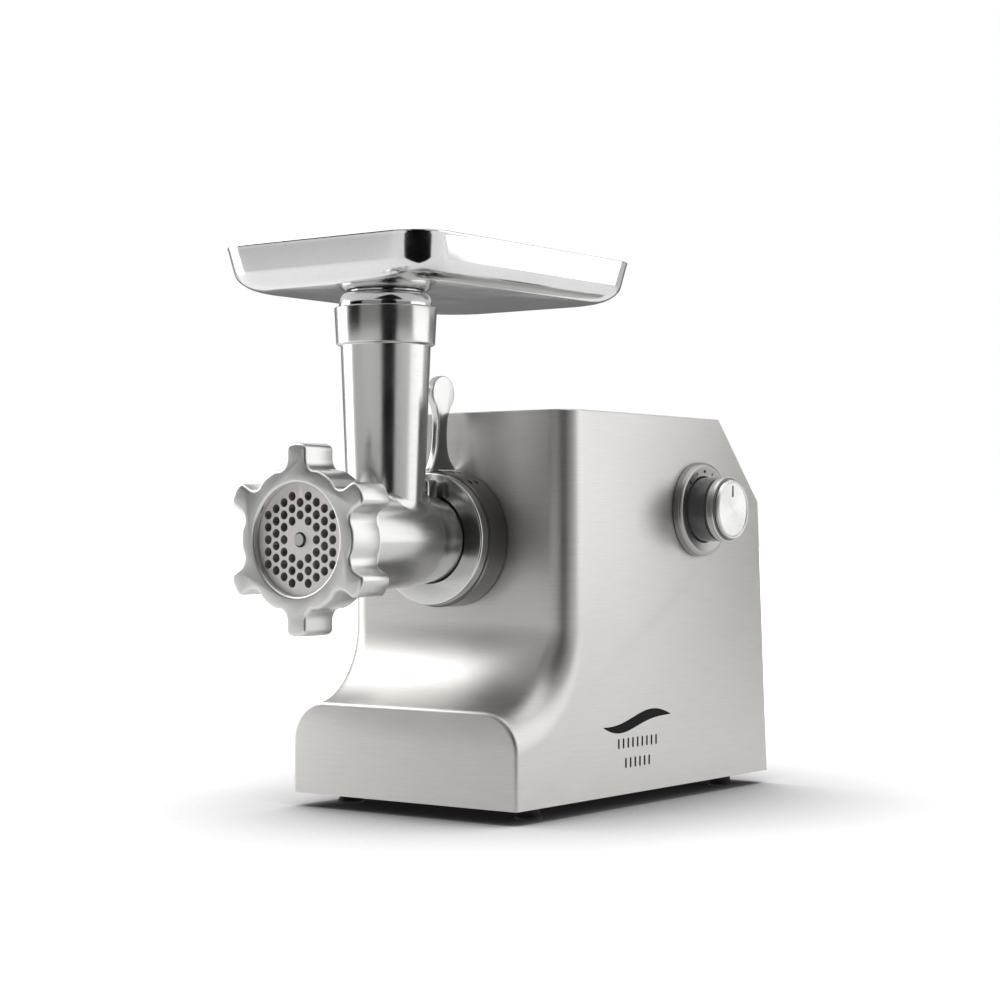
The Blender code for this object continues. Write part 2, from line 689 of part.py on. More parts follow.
def make_cord_inlet():
    """Moulded gland for the supply cord, low in the back panel."""
    lean = math.radians(rear_lean())
    distance = inlet_height() - panel_middle()
    up = Vector((0, -math.sin(lean), math.cos(lean)))
    face = Vector((0, rear_y(panel_middle()), panel_middle())) + up * distance
    neck = INLET_BORE + INLET_NECK_WALL - GAP
    inner_end = -CASE_WALL - PANEL_THICKNESS - 3.4
    profile = [(INLET_BORE, INLET_HEAD), (INLET_RADIUS - INLET_CHAMFER, INLET_HEAD),
               (INLET_RADIUS, INLET_HEAD - INLET_CHAMFER), (INLET_RADIUS, GAP), (neck, GAP),
               (neck, inner_end), (INLET_BORE, inner_end)]
    gland = turned("cord_inlet", profile, BLACK_RUBBER, steps=COARSE)
    gland.location = face * MM
    gland.rotation_euler = (math.radians(-90) + lean, 0, 0)


def foot_places():
    """Names and places of the four feet."""
    x = CASE_WIDTH / 2 - FOOT_INSET_X
    front = FOOT_INSET_FRONT
    rear = CASE_LENGTH - FOOT_INSET_REAR
    return (("front_left", -x, front), ("front_right", x, front),
            ("rear_left", -x, rear), ("rear_right", x, rear))


def make_bottom_cover():
    """Flat bottom cover with cooling slots under the motor."""
    low = CASE_FLOOR + BOTTOM_RECESS
    high = low + BOTTOM_THICKNESS
    front = CASE_WALL + GAP
    rear = rear_y(high) - CASE_WALL - 2 * GAP
    width = CASE_WIDTH - 2 * (CASE_WALL + GAP)
    edge = rounded_rectangle(width, rear - front, 4.0, 3, (0, (front + rear) / 2))
    slots = []
    for index in range(BOTTOM_SLOTS):
        y = MOTOR_CENTRE_Y + BOTTOM_SLOT_PITCH * (index - (BOTTOM_SLOTS - 1) / 2)
        slots.append(rounded_rectangle(BOTTOM_SLOT_LENGTH, BOTTOM_SLOT_WIDTH,
                                       0.475 * BOTTOM_SLOT_WIDTH, 1, (0, y)))
    holes = [circle(FOOT_BORE, 12, (x, y)) for _, x, y in foot_places()]
    prism("bottom_cover", [edge] + slots + holes, low, high, BLACK_PLASTIC, turn=UP)


def make_feet():
    """Rubber feet and the screws that hold them."""
    top = CASE_FLOOR + BOTTOM_RECESS - GAP
    for place_name, x, y in foot_places():
        profile = [(FOOT_BORE, top), (FOOT_NECK_RADIUS, top), (FOOT_NECK_RADIUS, 3.4),
                   (FOOT_RADIUS, 1.4), (FOOT_RADIUS - 0.4, 0), (FOOT_RECESS_RADIUS, 0),
                   (FOOT_RECESS_RADIUS, FOOT_RECESS_DEPTH), (FOOT_BORE, FOOT_RECESS_DEPTH)]
        turned("foot_" + place_name, profile, BLACK_RUBBER, (x, y, 0), UP, COARSE)
        head = FOOT_RECESS_DEPTH - GAP
        screw_top = CASE_FLOOR + BOTTOM_RECESS + BOTTOM_THICKNESS + SCREW_PROUD
        screw = [(0, screw_top), (SCREW_RADIUS, screw_top), (SCREW_RADIUS, head),
                 (SCREW_HEAD_RADIUS, head), (SCREW_HEAD_RADIUS, head - SCREW_HEAD_HEIGHT + 0.6),
                 (SCREW_HEAD_RADIUS - 0.8, head - SCREW_HEAD_HEIGHT),
                 (0, head - SCREW_HEAD_HEIGHT)]
        turned("foot_screw_" + place_name, screw, HARD_STEEL, (x, y, 0), UP, SMALL)


# ---------------------------------------------------------------- grinding head

def make_grinder_head():
    """Cast head: a barrel with an upright feed tube, its rib, and a spigot at the rear."""
    outer = [(0, SPIGOT_END_Y), (SPIGOT_RADIUS - 0.8, SPIGOT_END_Y),
             (SPIGOT_RADIUS, SPIGOT_END_Y - 0.8), (SPIGOT_RADIUS, SPIGOT_START_Y),
             (BORE_RADIUS + WAIST_WALL, BORE_END_Y + 4.0), (BARREL_RADIUS - 0.9, BORE_END_Y - 7.0),
             (BARREL_RADIUS, SHOULDER_Y + SHOULDER_RADIUS + 2.0)]
    outer += arc((THREAD_RADIUS - SHOULDER_RADIUS, SHOULDER_Y - 1.0), SHOULDER_RADIUS, 78, 0, 6)
    outer += [(THREAD_RADIUS, BARREL_FRONT_Y), (0, BARREL_FRONT_Y)]
    head = turned("grinder_head", outer, POLISHED_ALUMINIUM, (0, 0, AXIS_Z))

    top = COLLAR_TOP
    slope = (FEED_TOP_RADIUS - FEED_BASE_RADIUS) / (COLLAR_BOTTOM - AXIS_Z - BARREL_RADIUS)
    foot = AXIS_Z + 8.0
    foot_radius = FEED_BASE_RADIUS - slope * (AXIS_Z + BARREL_RADIUS - foot)
    tube = turned("feed_tube_outer", [
        (0, top), (COLLAR_RADIUS + COLLAR_FLARE - 0.6, top),
        (COLLAR_RADIUS + COLLAR_FLARE, top - 0.6), (COLLAR_RADIUS, COLLAR_BOTTOM + 0.5),
        (COLLAR_RADIUS - 0.5, COLLAR_BOTTOM), (FEED_TOP_RADIUS, COLLAR_BOTTOM),
        (foot_radius, foot), (0, foot)], None, (0, FEED_Y, 0), UP, FINE)
    rib_rear = FEED_Y + FEED_BASE_RADIUS + RIB_REACH
    rib = box("head_rib", (-RIB_THICKNESS / 2, FEED_Y + 10.0, AXIS_Z + 12.0),
              (RIB_THICKNESS / 2, rib_rear, RIB_TOP), None)
    pad = box("head_pad", (-PAD_WIDTH / 2, PAD_FRONT_Y, AXIS_Z + 10.0),
              (PAD_WIDTH / 2, PAD_REAR_Y, PAD_TOP), None)
    join(head, tube, rib, pad)

    bore = turned("cut_barrel_bore", [
        (0, BORE_END_Y), (BORE_RADIUS, BORE_END_Y), (BORE_RADIUS, CHAMBER_END_Y),
        (CHAMBER_RADIUS, CHAMBER_END_Y - 1.5), (CHAMBER_RADIUS, KNIFE_FRONT_Y),
        (PLATE_DIAMETER / 2 + GAP, KNIFE_FRONT_Y), (PLATE_DIAMETER / 2 + GAP, NUT_FACE_Y),
        (0, NUT_FACE_Y)], None, (0, 0, AXIS_Z))
    rear = rod("cut_spigot_bore", SPIGOT_BORE, BUSH_WALL_END_Y, SPIGOT_END_Y + 5, (0, AXIS_Z),
               None)
    bush = rod("cut_bush_seat", AUGER_NECK_RADIUS + SLIDE_GAP + BUSH_WALL + GAP, BORE_END_Y - 3,
               BUSH_WALL_END_Y + 3, (0, AXIS_Z), None)
    feed = turned("cut_feed_bore", [
        (0, top + 5), (COLLAR_BORE, top + 5), (COLLAR_BORE, COLLAR_SEAT),
        (FEED_BORE, COLLAR_SEAT - 1.5), (FEED_BORE - 1.0, AXIS_Z), (0, AXIS_Z)],
        None, (0, FEED_Y, 0), UP, MEDIUM)
    cut(head, bore, rear, bush, feed)


def make_head_bush():
    """Bronze bush in the rear wall of the barrel, which carries the auger's neck."""
    inner = AUGER_NECK_RADIUS + SLIDE_GAP
    ring("head_bush", inner + BUSH_WALL, inner, BORE_END_Y + GAP, BUSH_WALL_END_Y, (0, AXIS_Z),
         BRONZE)


def nut_outline():
    """Outline of the ring nut: a ring with broad lugs that run into it with hollow sides."""
    points = []
    for lug in range(NUT_LUGS):
        middle = math.radians(90 + 360 / NUT_LUGS * lug)
        side = NUT_LUG_WIDTH / 2
        hollow = 5.0
        flank = []
        base = NUT_RING_RADIUS - 1.0
        centre = (side + hollow, math.sqrt((base + hollow) ** 2 - (side + hollow) ** 2))
        start = math.degrees(math.atan2(-centre[1], -centre[0]))
        flank += arc(centre, hollow, start, -180, 2)
        flank += arc((side - 3.0, NUT_LUG_RADIUS - 3.6), 3.0, 0, 72, 2)
        flank.append((0, NUT_LUG_RADIUS))
        half = flank[:-1]
        whole = half + [flank[-1]] + [(-x, y) for x, y in half[::-1]]
        for x, y in whole:
            points.append((x * math.sin(middle) + y * math.cos(middle),
                           -x * math.cos(middle) + y * math.sin(middle)))
        gap_middle = middle + math.pi / NUT_LUGS
        for offset in (-0.09, 0, 0.09):
            a = gap_middle + offset
            points.append((NUT_RING_RADIUS * math.cos(a), NUT_RING_RADIUS * math.sin(a)))
    return points


def make_ring_nut():
    """Ring nut that holds the plate: six lugs in front and a short skirt behind."""
    rear = NUT_FACE_Y + NUT_DEPTH
    nut = prism("ring_nut", [nut_outline()], NUT_FACE_Y, rear, CAST_ALUMINIUM, (0, AXIS_Z))
    bm = bmesh.new()
    bm.from_mesh(nut.data)
    bmesh.ops.dissolve_limit(bm, angle_limit=math.radians(1), verts=bm.verts, edges=bm.edges)
    bm.to_mesh(nut.data)
    bm.free()
    bevel(nut, NUT_EDGE, 1, 60)
    skirt = rod("nut_skirt", NUT_SKIRT_RADIUS, rear - 4, rear + NUT_SKIRT_LENGTH, (0, AXIS_Z),
                None, sides=FINE)
    join(nut, skirt)
    face = PLATE_FACE_Y - GAP
    bore = turned("cut_nut_bore", [
        (0, rear + 9), (THREAD_RADIUS + SLIDE_GAP, rear + 9), (THREAD_RADIUS + SLIDE_GAP, face),
        (NUT_OPENING, face), (NUT_OPENING, NUT_FACE_Y + 0.9), (NUT_OPENING + 3, NUT_FACE_Y - 2.1),
        (0, NUT_FACE_Y - 2.1)], None, (0, 0, AXIS_Z))
    cut(nut, bore)


def plate_holes():
    """Middles of the holes: a triangular grid, clear of the middle and of the rim."""
    column = HOLE_PITCH * math.sqrt(3) / 2
    reach = int(PLATE_DIAMETER / 2 / column) + 1
    found = []
    for i in range(-reach, reach + 1):
        shift = 0.5 if i % 2 else 0.0
        for j in range(-reach, reach + 1):
            x = i * column
            y = (j + shift) * HOLE_PITCH
            radius = math.hypot(x, y)
            inside = radius < NUT_OPENING - HOLE_DIAMETER / 2 - 0.6
            flat = abs(y) < 3.6 * HOLE_PITCH
            if radius > 1.3 * HOLE_PITCH and inside and flat:
                found.append((x, y))
    return found


def make_grinding_plate():
    """Perforated steel plate."""
    holes = [circle(HOLE_DIAMETER / 2, HOLE_SIDES, centre) for centre in plate_holes()]
    middle = circle(PLATE_CENTRE_BORE, SMALL)
    prism("grinding_plate", [circle(PLATE_DIAMETER / 2, FINE), middle] + holes, PLATE_FACE_Y,
          PLATE_FACE_Y + PLATE_THICKNESS, HARD_STEEL, (0, AXIS_Z))


def make_knife():
    """Knife with four arms and a square bore."""
    points = []
    for arm in range(KNIFE_ARMS):
        start = 360 / KNIFE_ARMS * arm
        for radius, angle in ((KNIFE_HUB, -26), (KNIFE_HUB + 2, -19), (KNIFE_RADIUS * 0.7, -9),
                              (KNIFE_RADIUS, -6), (KNIFE_RADIUS, 6), (KNIFE_RADIUS * 0.7, 6),
                              (KNIFE_HUB + 2, 9), (KNIFE_HUB, 20)):
            a = math.radians(start + angle)
            points.append((radius * math.cos(a), radius * math.sin(a)))
    half = AUGER_SQUARE / 2 + GAP
    square = [(half, half), (-half, half), (-half, -half), (half, -half)]
    prism("knife", [points, square], KNIFE_FRONT_Y, KNIFE_FRONT_Y + KNIFE_THICKNESS, HARD_STEEL,
          (0, AXIS_Z))


def auger_section():
    """Section of the auger: a round core with one broad lobe, which the helix sweeps."""
    sides = 14
    lobe = math.radians(32)
    foot = math.radians(80)
    points = []
    for index in range(sides):
        angle = 2 * math.pi * index / sides - math.pi
        share = (foot - abs(angle)) / (foot - lobe)
        share = min(max(share, 0.0), 1.0)
        radius = AUGER_CORE + (AUGER_RADIUS - AUGER_CORE) * share * share * (3 - 2 * share)
        points.append((radius * math.cos(angle), radius * math.sin(angle)))
    return points


def make_auger():
    """Feed screw: the section swept along a helix, with its square, stud and neck."""
    length = AUGER_END_Y - AUGER_START_Y
    steps = 32
    turns = length / AUGER_PITCH
    bm = bmesh.new()
    face = bm.faces.new([bm.verts.new((x * MM, y * MM, 0)) for x, y in auger_section()])
    bmesh.ops.spin(bm, geom=[face], cent=(0, 0, 0), axis=(0, 0, 1),
                   dvec=(0, 0, length / steps * MM), angle=2 * math.pi * turns, steps=steps)
    bmesh.ops.recalc_face_normals(bm, faces=bm.faces)
    auger = place("auger", mesh_from(bm, "auger"), CAST_ALUMINIUM,
                  (0, AUGER_START_Y, AXIS_Z), ALONG_Y)
    half = AUGER_SQUARE / 2
    square = box("auger_square", (-half, KNIFE_FRONT_Y, AXIS_Z - half),
                 (half, AUGER_START_Y + 5, AXIS_Z + half), None)
    stud = rod("auger_stud", STUD_RADIUS, STUD_END_Y, AUGER_START_Y + 6, (0, AXIS_Z), None,
               sides=16)
    neck = turned("auger_neck", [
        (0, AUGER_TAIL_END_Y), (AUGER_TAIL_RADIUS, AUGER_TAIL_END_Y),
        (AUGER_TAIL_RADIUS, DRIVER_START_Y - GAP), (AUGER_NECK_RADIUS, DRIVER_START_Y - GAP),
        (AUGER_NECK_RADIUS, AUGER_END_Y - 8), (0, AUGER_END_Y - 8)],
        None, (0, 0, AXIS_Z), steps=COARSE)
    join(auger, square, stud, neck)


def hexagon(across_flats):
    """Outline of a hexagon."""
    return circle(across_flats / math.sqrt(3), 6)


def make_auger_driver():
    """Moulded drive socket on the auger's tail, the piece that shears first in a jam."""
    driver = turned("auger_driver", [
        (0, DRIVER_END_Y), (DRIVER_RADIUS - 1, DRIVER_END_Y), (DRIVER_RADIUS, DRIVER_END_Y - 1),
        (DRIVER_RADIUS, DRIVER_START_Y + 1), (DRIVER_RADIUS - 1, DRIVER_START_Y),
        (0, DRIVER_START_Y)], WHITE_PLASTIC, (0, 0, AXIS_Z), steps=MEDIUM)
    tail = rod("cut_driver_tail", AUGER_TAIL_RADIUS + GAP, DRIVER_START_Y - 5,
               AUGER_TAIL_END_Y + GAP, (0, AXIS_Z), None, sides=24)
    socket = prism("cut_driver_socket", [hexagon(HEX_ACROSS_FLATS + 2 * GAP)],
                   HEX_START_Y - GAP, DRIVER_END_Y + 5, None, (0, AXIS_Z))
    cut(driver, tail, socket)


# ---------------------------------------------------------------- tray

def tray_rows():
    """Sections of the tray from its throat out over the bottom and up the wall."""
    segments = 6
    rows = []
    count = 4 * (segments + 1)
    throat = []
    for index in range(count):
        angle = math.radians(45) + 2 * math.pi * (index - segments / 2) / count
        throat.append((THROAT_RADIUS * math.cos(angle), FEED_Y + THROAT_RADIUS * math.sin(angle),
                       TRAY_BOTTOM))
    rows.append(throat)
    edge = TRAY_EDGE_RADIUS
    for step in range(5):
        angle = math.radians(78) * step / 4
        inset = TRAY_LEAN + edge * (1 - math.sin(angle))
        rows.append(tray_ring(inset, TRAY_BOTTOM + edge * (1 - math.cos(angle)), segments))
    rows.append(tray_ring(1.6, TRAY_TOP - TRAY_LIP, segments))
    rows.append(tray_ring(0.0, TRAY_TOP, segments))
    return rows


def tray_ring(inset, z, segments):
    """One level section of the tray, inset from its rim."""
    middle = TRAY_FRONT_Y + TRAY_LENGTH / 2
    radius = TRAY_CORNER_RADIUS + inset * 0.6
    ring_points = rounded_rectangle(TRAY_WIDTH - 2 * inset, TRAY_LENGTH - 2 * inset, radius,
                                    segments, (0, middle))
    return [(x, y, z) for x, y in ring_points]


def make_tray():
    """Deep-drawn tray: a loft from the round throat to the rounded rim, with a wall."""
    bm = bmesh.new()
    rows = [[bm.verts.new(Vector(p) * MM) for p in row] for row in tray_rows()]
    for first, second in zip(rows, rows[1:]):
        for i in range(len(first)):
            j = (i + 1) % len(first)
            bm.faces.new((first[i], second[i], second[j], first[j]))
    bmesh.ops.recalc_face_normals(bm, faces=bm.faces)
    lowest = min(bm.faces, key=lambda f: f.calc_center_median().z)
    if lowest.normal.z > 0:
        bmesh.ops.reverse_faces(bm, faces=bm.faces)
    tray = place("tray", mesh_from(bm, "tray"), POLISHED_ALUMINIUM)
    wall = tray.modifiers.new("sheet_thickness", "SOLIDIFY")
    wall.thickness = TRAY_WALL * MM
    wall.offset = -1
    wall.use_even_offset = True
    wall.use_quality_normals = True


def make_tray_neck():
    """Neck under the tray: it rests on the collar and reaches into it."""
    spigot = COLLAR_BORE - GAP
    inner = spigot - NECK_WALL
    bottom = COLLAR_TOP - NECK_DEPTH
    seat = COLLAR_TOP + GAP
    lip = THROAT_RADIUS - GAP
    under = TRAY_BOTTOM - GAP
    dome = arc((NECK_SHOULDER_RADIUS - 5.4, seat + 1.2), 5.4, 78, 0, 3)
    dome = [(x, seat + 1.2 + (z - seat - 1.2) * (under - seat - 1.2) / 5.4) for x, z in dome]
    profile = [(lip - NECK_WALL, TRAY_BOTTOM + TRAY_WALL), (lip, TRAY_BOTTOM + TRAY_WALL),
               (lip, under)] + dome
    profile += [(NECK_SHOULDER_RADIUS, seat), (spigot, seat), (spigot, bottom), (inner, bottom),
                (inner, seat + 4.0)]
    turned("tray_neck", profile, POLISHED_ALUMINIUM, (0, FEED_Y, 0), UP, MEDIUM)


# ---------------------------------------------------------------- boss and lock

def make_front_boss():
    """Fixed boss on the upper face, which guides the head's spigot."""
    front = LOCK_FRONT_Y + LOCK_DEPTH + GAP
    inner = SPIGOT_RADIUS + SLIDE_GAP
    rear = GEARBOX_FRONT_Y - GAP
    turned("front_boss", [
        (inner, rear), (BOSS_NECK_RADIUS, rear), (BOSS_NECK_RADIUS, FACE_Y - GAP),
        (BOSS_RADIUS, FACE_Y - GAP), (BOSS_RADIUS, front), (inner, front)],
        BRUSHED_STEEL, (0, 0, AXIS_Z))


def make_lock_ring():
    """Ring that the lever turns to lock the head."""
    inner = SPIGOT_RADIUS + SLIDE_GAP
    rear = LOCK_DEPTH
    turned("lock_ring", [
        (inner, rear), (LOCK_RADIUS, rear), (LOCK_RADIUS, 0.8), (LOCK_RADIUS - 0.8, 0),
        (inner, 0)], POLISHED_ALUMINIUM, (0, LOCK_FRONT_Y, AXIS_Z))


def make_lock_lever():
    """Lever on the lock ring: a foot, a slim waisted stem and a round paddle."""
    ring_top = LOCK_RADIUS + GAP
    boss_top = BOSS_RADIUS + SLIDE_GAP + 0.3
    lock_rear = LOCK_FRONT_Y + LOCK_DEPTH
    front = [(LOCK_FRONT_Y, ring_top), (LOCK_FRONT_Y, ring_top + 2.2),
             (LOCK_FRONT_Y + 2.6, ring_top + 6.5), (LOCK_FRONT_Y + 4.6, ring_top + 13.0),
             (LEVER_Y - 4.6, ring_top + 21.0), (LEVER_Y - 4.0, ring_top + 28.0)]
    rear = [(LEVER_Y + 3.4, ring_top + 27.0), (LEVER_Y + 2.8, ring_top + 18.0),
            (LEVER_Y + 3.8, ring_top + 10.0), (LEVER_Y + 6.8, boss_top + 3.2),
            (LEVER_Y + 9.4, boss_top + 1.2), (LEVER_Y + 9.4, boss_top), (lock_rear, boss_top),
            (lock_rear, ring_top)]
    paddle = arc((LEVER_Y, LEVER_HEIGHT), PADDLE_RADIUS, 242, -62, 14)
    outline = [(y, z) for y, z in front + paddle + rear]
    lever = prism("lock_lever", [outline], -LEVER_THICKNESS / 2, LEVER_THICKNESS / 2,
                  POLISHED_ALUMINIUM, (0, AXIS_Z), FLAT_YZ)
    bm = bmesh.new()
    bm.from_mesh(lever.data)
    bmesh.ops.dissolve_limit(bm, angle_limit=math.radians(1), verts=bm.verts, edges=bm.edges)
    bm.to_mesh(lever.data)
    bm.free()
    bevel(lever, 0.8, 1, 60)


# ---------------------------------------------------------------- gear train

def step_from(centre, distance, direction):
    """Point at a distance from a centre, in the XZ plane."""
    return (centre[0] + distance * math.cos(direction), centre[1] + distance * math.sin(direction))


def centre_distance(module, teeth):
    """Distance between a pinion's shaft and its wheel's."""
    return module * (PINION_TEETH + teeth) / 2


OUTPUT_CENTRE = (0.0, AXIS_Z)
SECOND_CENTRE = step_from(OUTPUT_CENTRE, centre_distance(OUTPUT_MODULE, OUTPUT_TEETH),
                          SECOND_DIRECTION)
FIRST_CENTRE = step_from(SECOND_CENTRE, centre_distance(SECOND_MODULE, SECOND_TEETH),
                         FIRST_DIRECTION)
MOTOR_CENTRE = step_from(FIRST_CENTRE, centre_distance(FIRST_MODULE, FIRST_TEETH),
                         MOTOR_DIRECTION)


def tip_radius(module, teeth):
    """Radius over the tips of a gear."""
    return module * (teeth / 2 + ADDENDUM)


def gearbox_limits():
    """Low and high corners, in X and Z, of the inside of the gearbox."""
    wheels = ((OUTPUT_CENTRE, OUTPUT_MODULE, OUTPUT_TEETH),
              (SECOND_CENTRE, SECOND_MODULE, SECOND_TEETH),
              (FIRST_CENTRE, FIRST_MODULE, FIRST_TEETH),
              (MOTOR_CENTRE, FIRST_MODULE, PINION_TEETH))
    spans = [(c[0], c[1], tip_radius(m, t) + GEARBOX_CLEARANCE) for c, m, t in wheels]
    low = (min(x - r for x, _, r in spans), min(z - r for _, z, r in spans))
    high = (max(x + r for x, _, r in spans), max(z + r for _, z, r in spans))
    return low, high


def corner_depth(x):
    """How far behind the upper face its round side corner lies, at a distance from the middle."""
    across = abs(x) - (CASE_WIDTH / 2 - FACE_CORNER_RADIUS)
    if across <= 0:
        return 0.0
    return FACE_CORNER_RADIUS - math.sqrt(max(FACE_CORNER_RADIUS ** 2 - across ** 2, 0.0))


def gearbox_front():
    """Front of the gearbox: behind the sheet of the upper face and of its round corners."""
    low, high = gearbox_limits()
    half = max(-low[0], high[0]) + GEARBOX_SIDE_WALL + CASE_WALL
    return FACE_Y + corner_depth(half) + CASE_WALL + GEARBOX_SPACE


# ---- places along the drive, from the front of the gearbox to the rear of the motor ----
GEARBOX_FRONT_Y = gearbox_front()
HEX_END_Y = GEARBOX_FRONT_Y - 4.0
BEARING_END_Y = GEARBOX_FRONT_Y + GAP + OUTPUT_BEARING_WIDTH
OUTPUT_GEAR_Y = BEARING_END_Y + 1.2
SECOND_GEAR_Y = OUTPUT_GEAR_Y + OUTPUT_GEAR_WIDTH + LAYER_SPACE
FIRST_GEAR_Y = SECOND_GEAR_Y + SECOND_GEAR_WIDTH + LAYER_SPACE
GEARBOX_REAR_Y = FIRST_GEAR_Y + FIRST_GEAR_WIDTH + LAYER_SPACE
BRACKET_FRONT_Y = GEARBOX_REAR_Y + GEARBOX_WALL + 3.0
MOTOR_CENTRE_Y = (BRACKET_FRONT_Y + BRACKET_THICKNESS + 0.5 + FAN_WIDTH + MOTOR_SPACE
                  + COIL_LENGTH / 2)
COMMUTATOR_Y = MOTOR_CENTRE_Y + COIL_LENGTH / 2 + MOTOR_SPACE
BRACKET_REAR_Y = COMMUTATOR_Y + COMMUTATOR_LENGTH + 3.5


def gear_outline(module, teeth, tooth_at):
    """Outline of an involute gear with stub teeth, one of them centred on an angle."""
    pitch_radius = module * teeth / 2
    base_radius = pitch_radius * math.cos(PRESSURE_ANGLE)
    root_radius = pitch_radius - DEDENDUM * module
    top = tip_radius(module, teeth)
    involute_at_pitch = math.tan(PRESSURE_ANGLE) - PRESSURE_ANGLE

    def half_angle(radius):
        ratio = min(base_radius / radius, 1.0)
        angle = math.acos(ratio)
        half = math.pi / (2 * teeth) - BACKLASH * module / (4 * pitch_radius)
        return half + involute_at_pitch - (math.tan(angle) - angle)

    radii = [root_radius, top]
    if teeth <= PINION_TEETH:
        radii = [root_radius, max(base_radius, root_radius + 0.05), top]
    points = []
    for tooth in range(teeth):
        middle = tooth_at + 2 * math.pi * tooth / teeth
        for sign, order in ((-1, radii), (1, radii[::-1])):
            for radius in order:
                angle = middle + sign * half_angle(radius)
                points.append((radius * math.cos(angle), radius * math.sin(angle)))
    return points


def make_wheel(name, module, teeth, pinion_direction, start, width, centre, bore, finish):
    """Gear wheel with a space between two teeth that faces its pinion."""
    outline = gear_outline(module, teeth, pinion_direction + math.pi / teeth)
    prism(name, [outline, circle(bore, COARSE)], start, start + width, finish, centre)


def make_pinion_shaft(name, module, wheel_direction, start, width, centre, ends):
    """Shaft with a pinion cut on it, one tooth facing its wheel."""
    outline = gear_outline(module, PINION_TEETH, wheel_direction)
    pinion = prism(name, [outline], start - PINION_EXTRA, start + width + PINION_EXTRA,
                   HARD_STEEL, centre)
    shaft = rod(name + "_core", SHAFT_RADIUS, ends[0], ends[1], centre, None, sides=SMALL)
    join(pinion, shaft)


def make_gears():
    """The three stages, from the motor's pinion to the output wheel."""
    bush_front = GEARBOX_FRONT_Y + 1.0
    bush_rear = GEARBOX_REAR_Y + GEARBOX_WALL - 1.0
    make_wheel("output_gear", OUTPUT_MODULE, OUTPUT_TEETH, SECOND_DIRECTION, OUTPUT_GEAR_Y,
               OUTPUT_GEAR_WIDTH, OUTPUT_CENTRE, OUTPUT_SHAFT_RADIUS + GAP, HARD_STEEL)
    make_pinion_shaft("second_pinion_shaft", OUTPUT_MODULE, SECOND_DIRECTION + math.pi,
                      OUTPUT_GEAR_Y, OUTPUT_GEAR_WIDTH, SECOND_CENTRE, (bush_front, bush_rear))
    make_wheel("second_gear", SECOND_MODULE, SECOND_TEETH, FIRST_DIRECTION, SECOND_GEAR_Y,
               SECOND_GEAR_WIDTH, SECOND_CENTRE, SHAFT_RADIUS + GAP, HARD_STEEL)
    make_pinion_shaft("first_pinion_shaft", SECOND_MODULE, FIRST_DIRECTION + math.pi,
                      SECOND_GEAR_Y, SECOND_GEAR_WIDTH, FIRST_CENTRE, (bush_front, bush_rear))
    make_wheel("first_gear", FIRST_MODULE, FIRST_TEETH, MOTOR_DIRECTION, FIRST_GEAR_Y,
               FIRST_GEAR_WIDTH, FIRST_CENTRE, SHAFT_RADIUS + GAP, WHITE_PLASTIC)


def make_output_shaft():
    """Output shaft with a hexagonal nose, which the auger's drive socket slides over."""
    rear = GEARBOX_REAR_Y + GEARBOX_WALL - 1.0
    shaft = rod("output_shaft", OUTPUT_SHAFT_RADIUS, HEX_END_Y, rear, OUTPUT_CENTRE, HARD_STEEL,
                sides=COARSE)
    nose = prism("output_hex", [hexagon(HEX_ACROSS_FLATS)], HEX_START_Y, HEX_END_Y + 4, None,
                 OUTPUT_CENTRE)
    join(shaft, nose)


def make_bearings():
    """Bearings of the output shaft and bushes of the two intermediate shafts."""
    inner = OUTPUT_SHAFT_RADIUS + SLIDE_GAP
    front = GEARBOX_FRONT_Y + GAP
    rear = GEARBOX_REAR_Y
    ring("output_bearing_front", OUTPUT_BEARING_RADIUS, inner, front, BEARING_END_Y,
         OUTPUT_CENTRE, HARD_STEEL)
    ring("output_bearing_rear", OUTPUT_BEARING_RADIUS, inner, rear - 1.5,
         rear + GEARBOX_WALL, OUTPUT_CENTRE, HARD_STEEL)
    shaft_inner = SHAFT_RADIUS + SLIDE_GAP
    for stage, centre in (("second", SECOND_CENTRE), ("first", FIRST_CENTRE)):
        ring(stage + "_bush_front", SHAFT_BUSH_RADIUS, shaft_inner, front,
             GEARBOX_FRONT_Y + GEARBOX_WALL + 1.0, centre, BRONZE, steps=COARSE)
        ring(stage + "_bush_rear", SHAFT_BUSH_RADIUS, shaft_inner, rear - 1.0,
             rear + GEARBOX_WALL, centre, BRONZE, steps=COARSE)


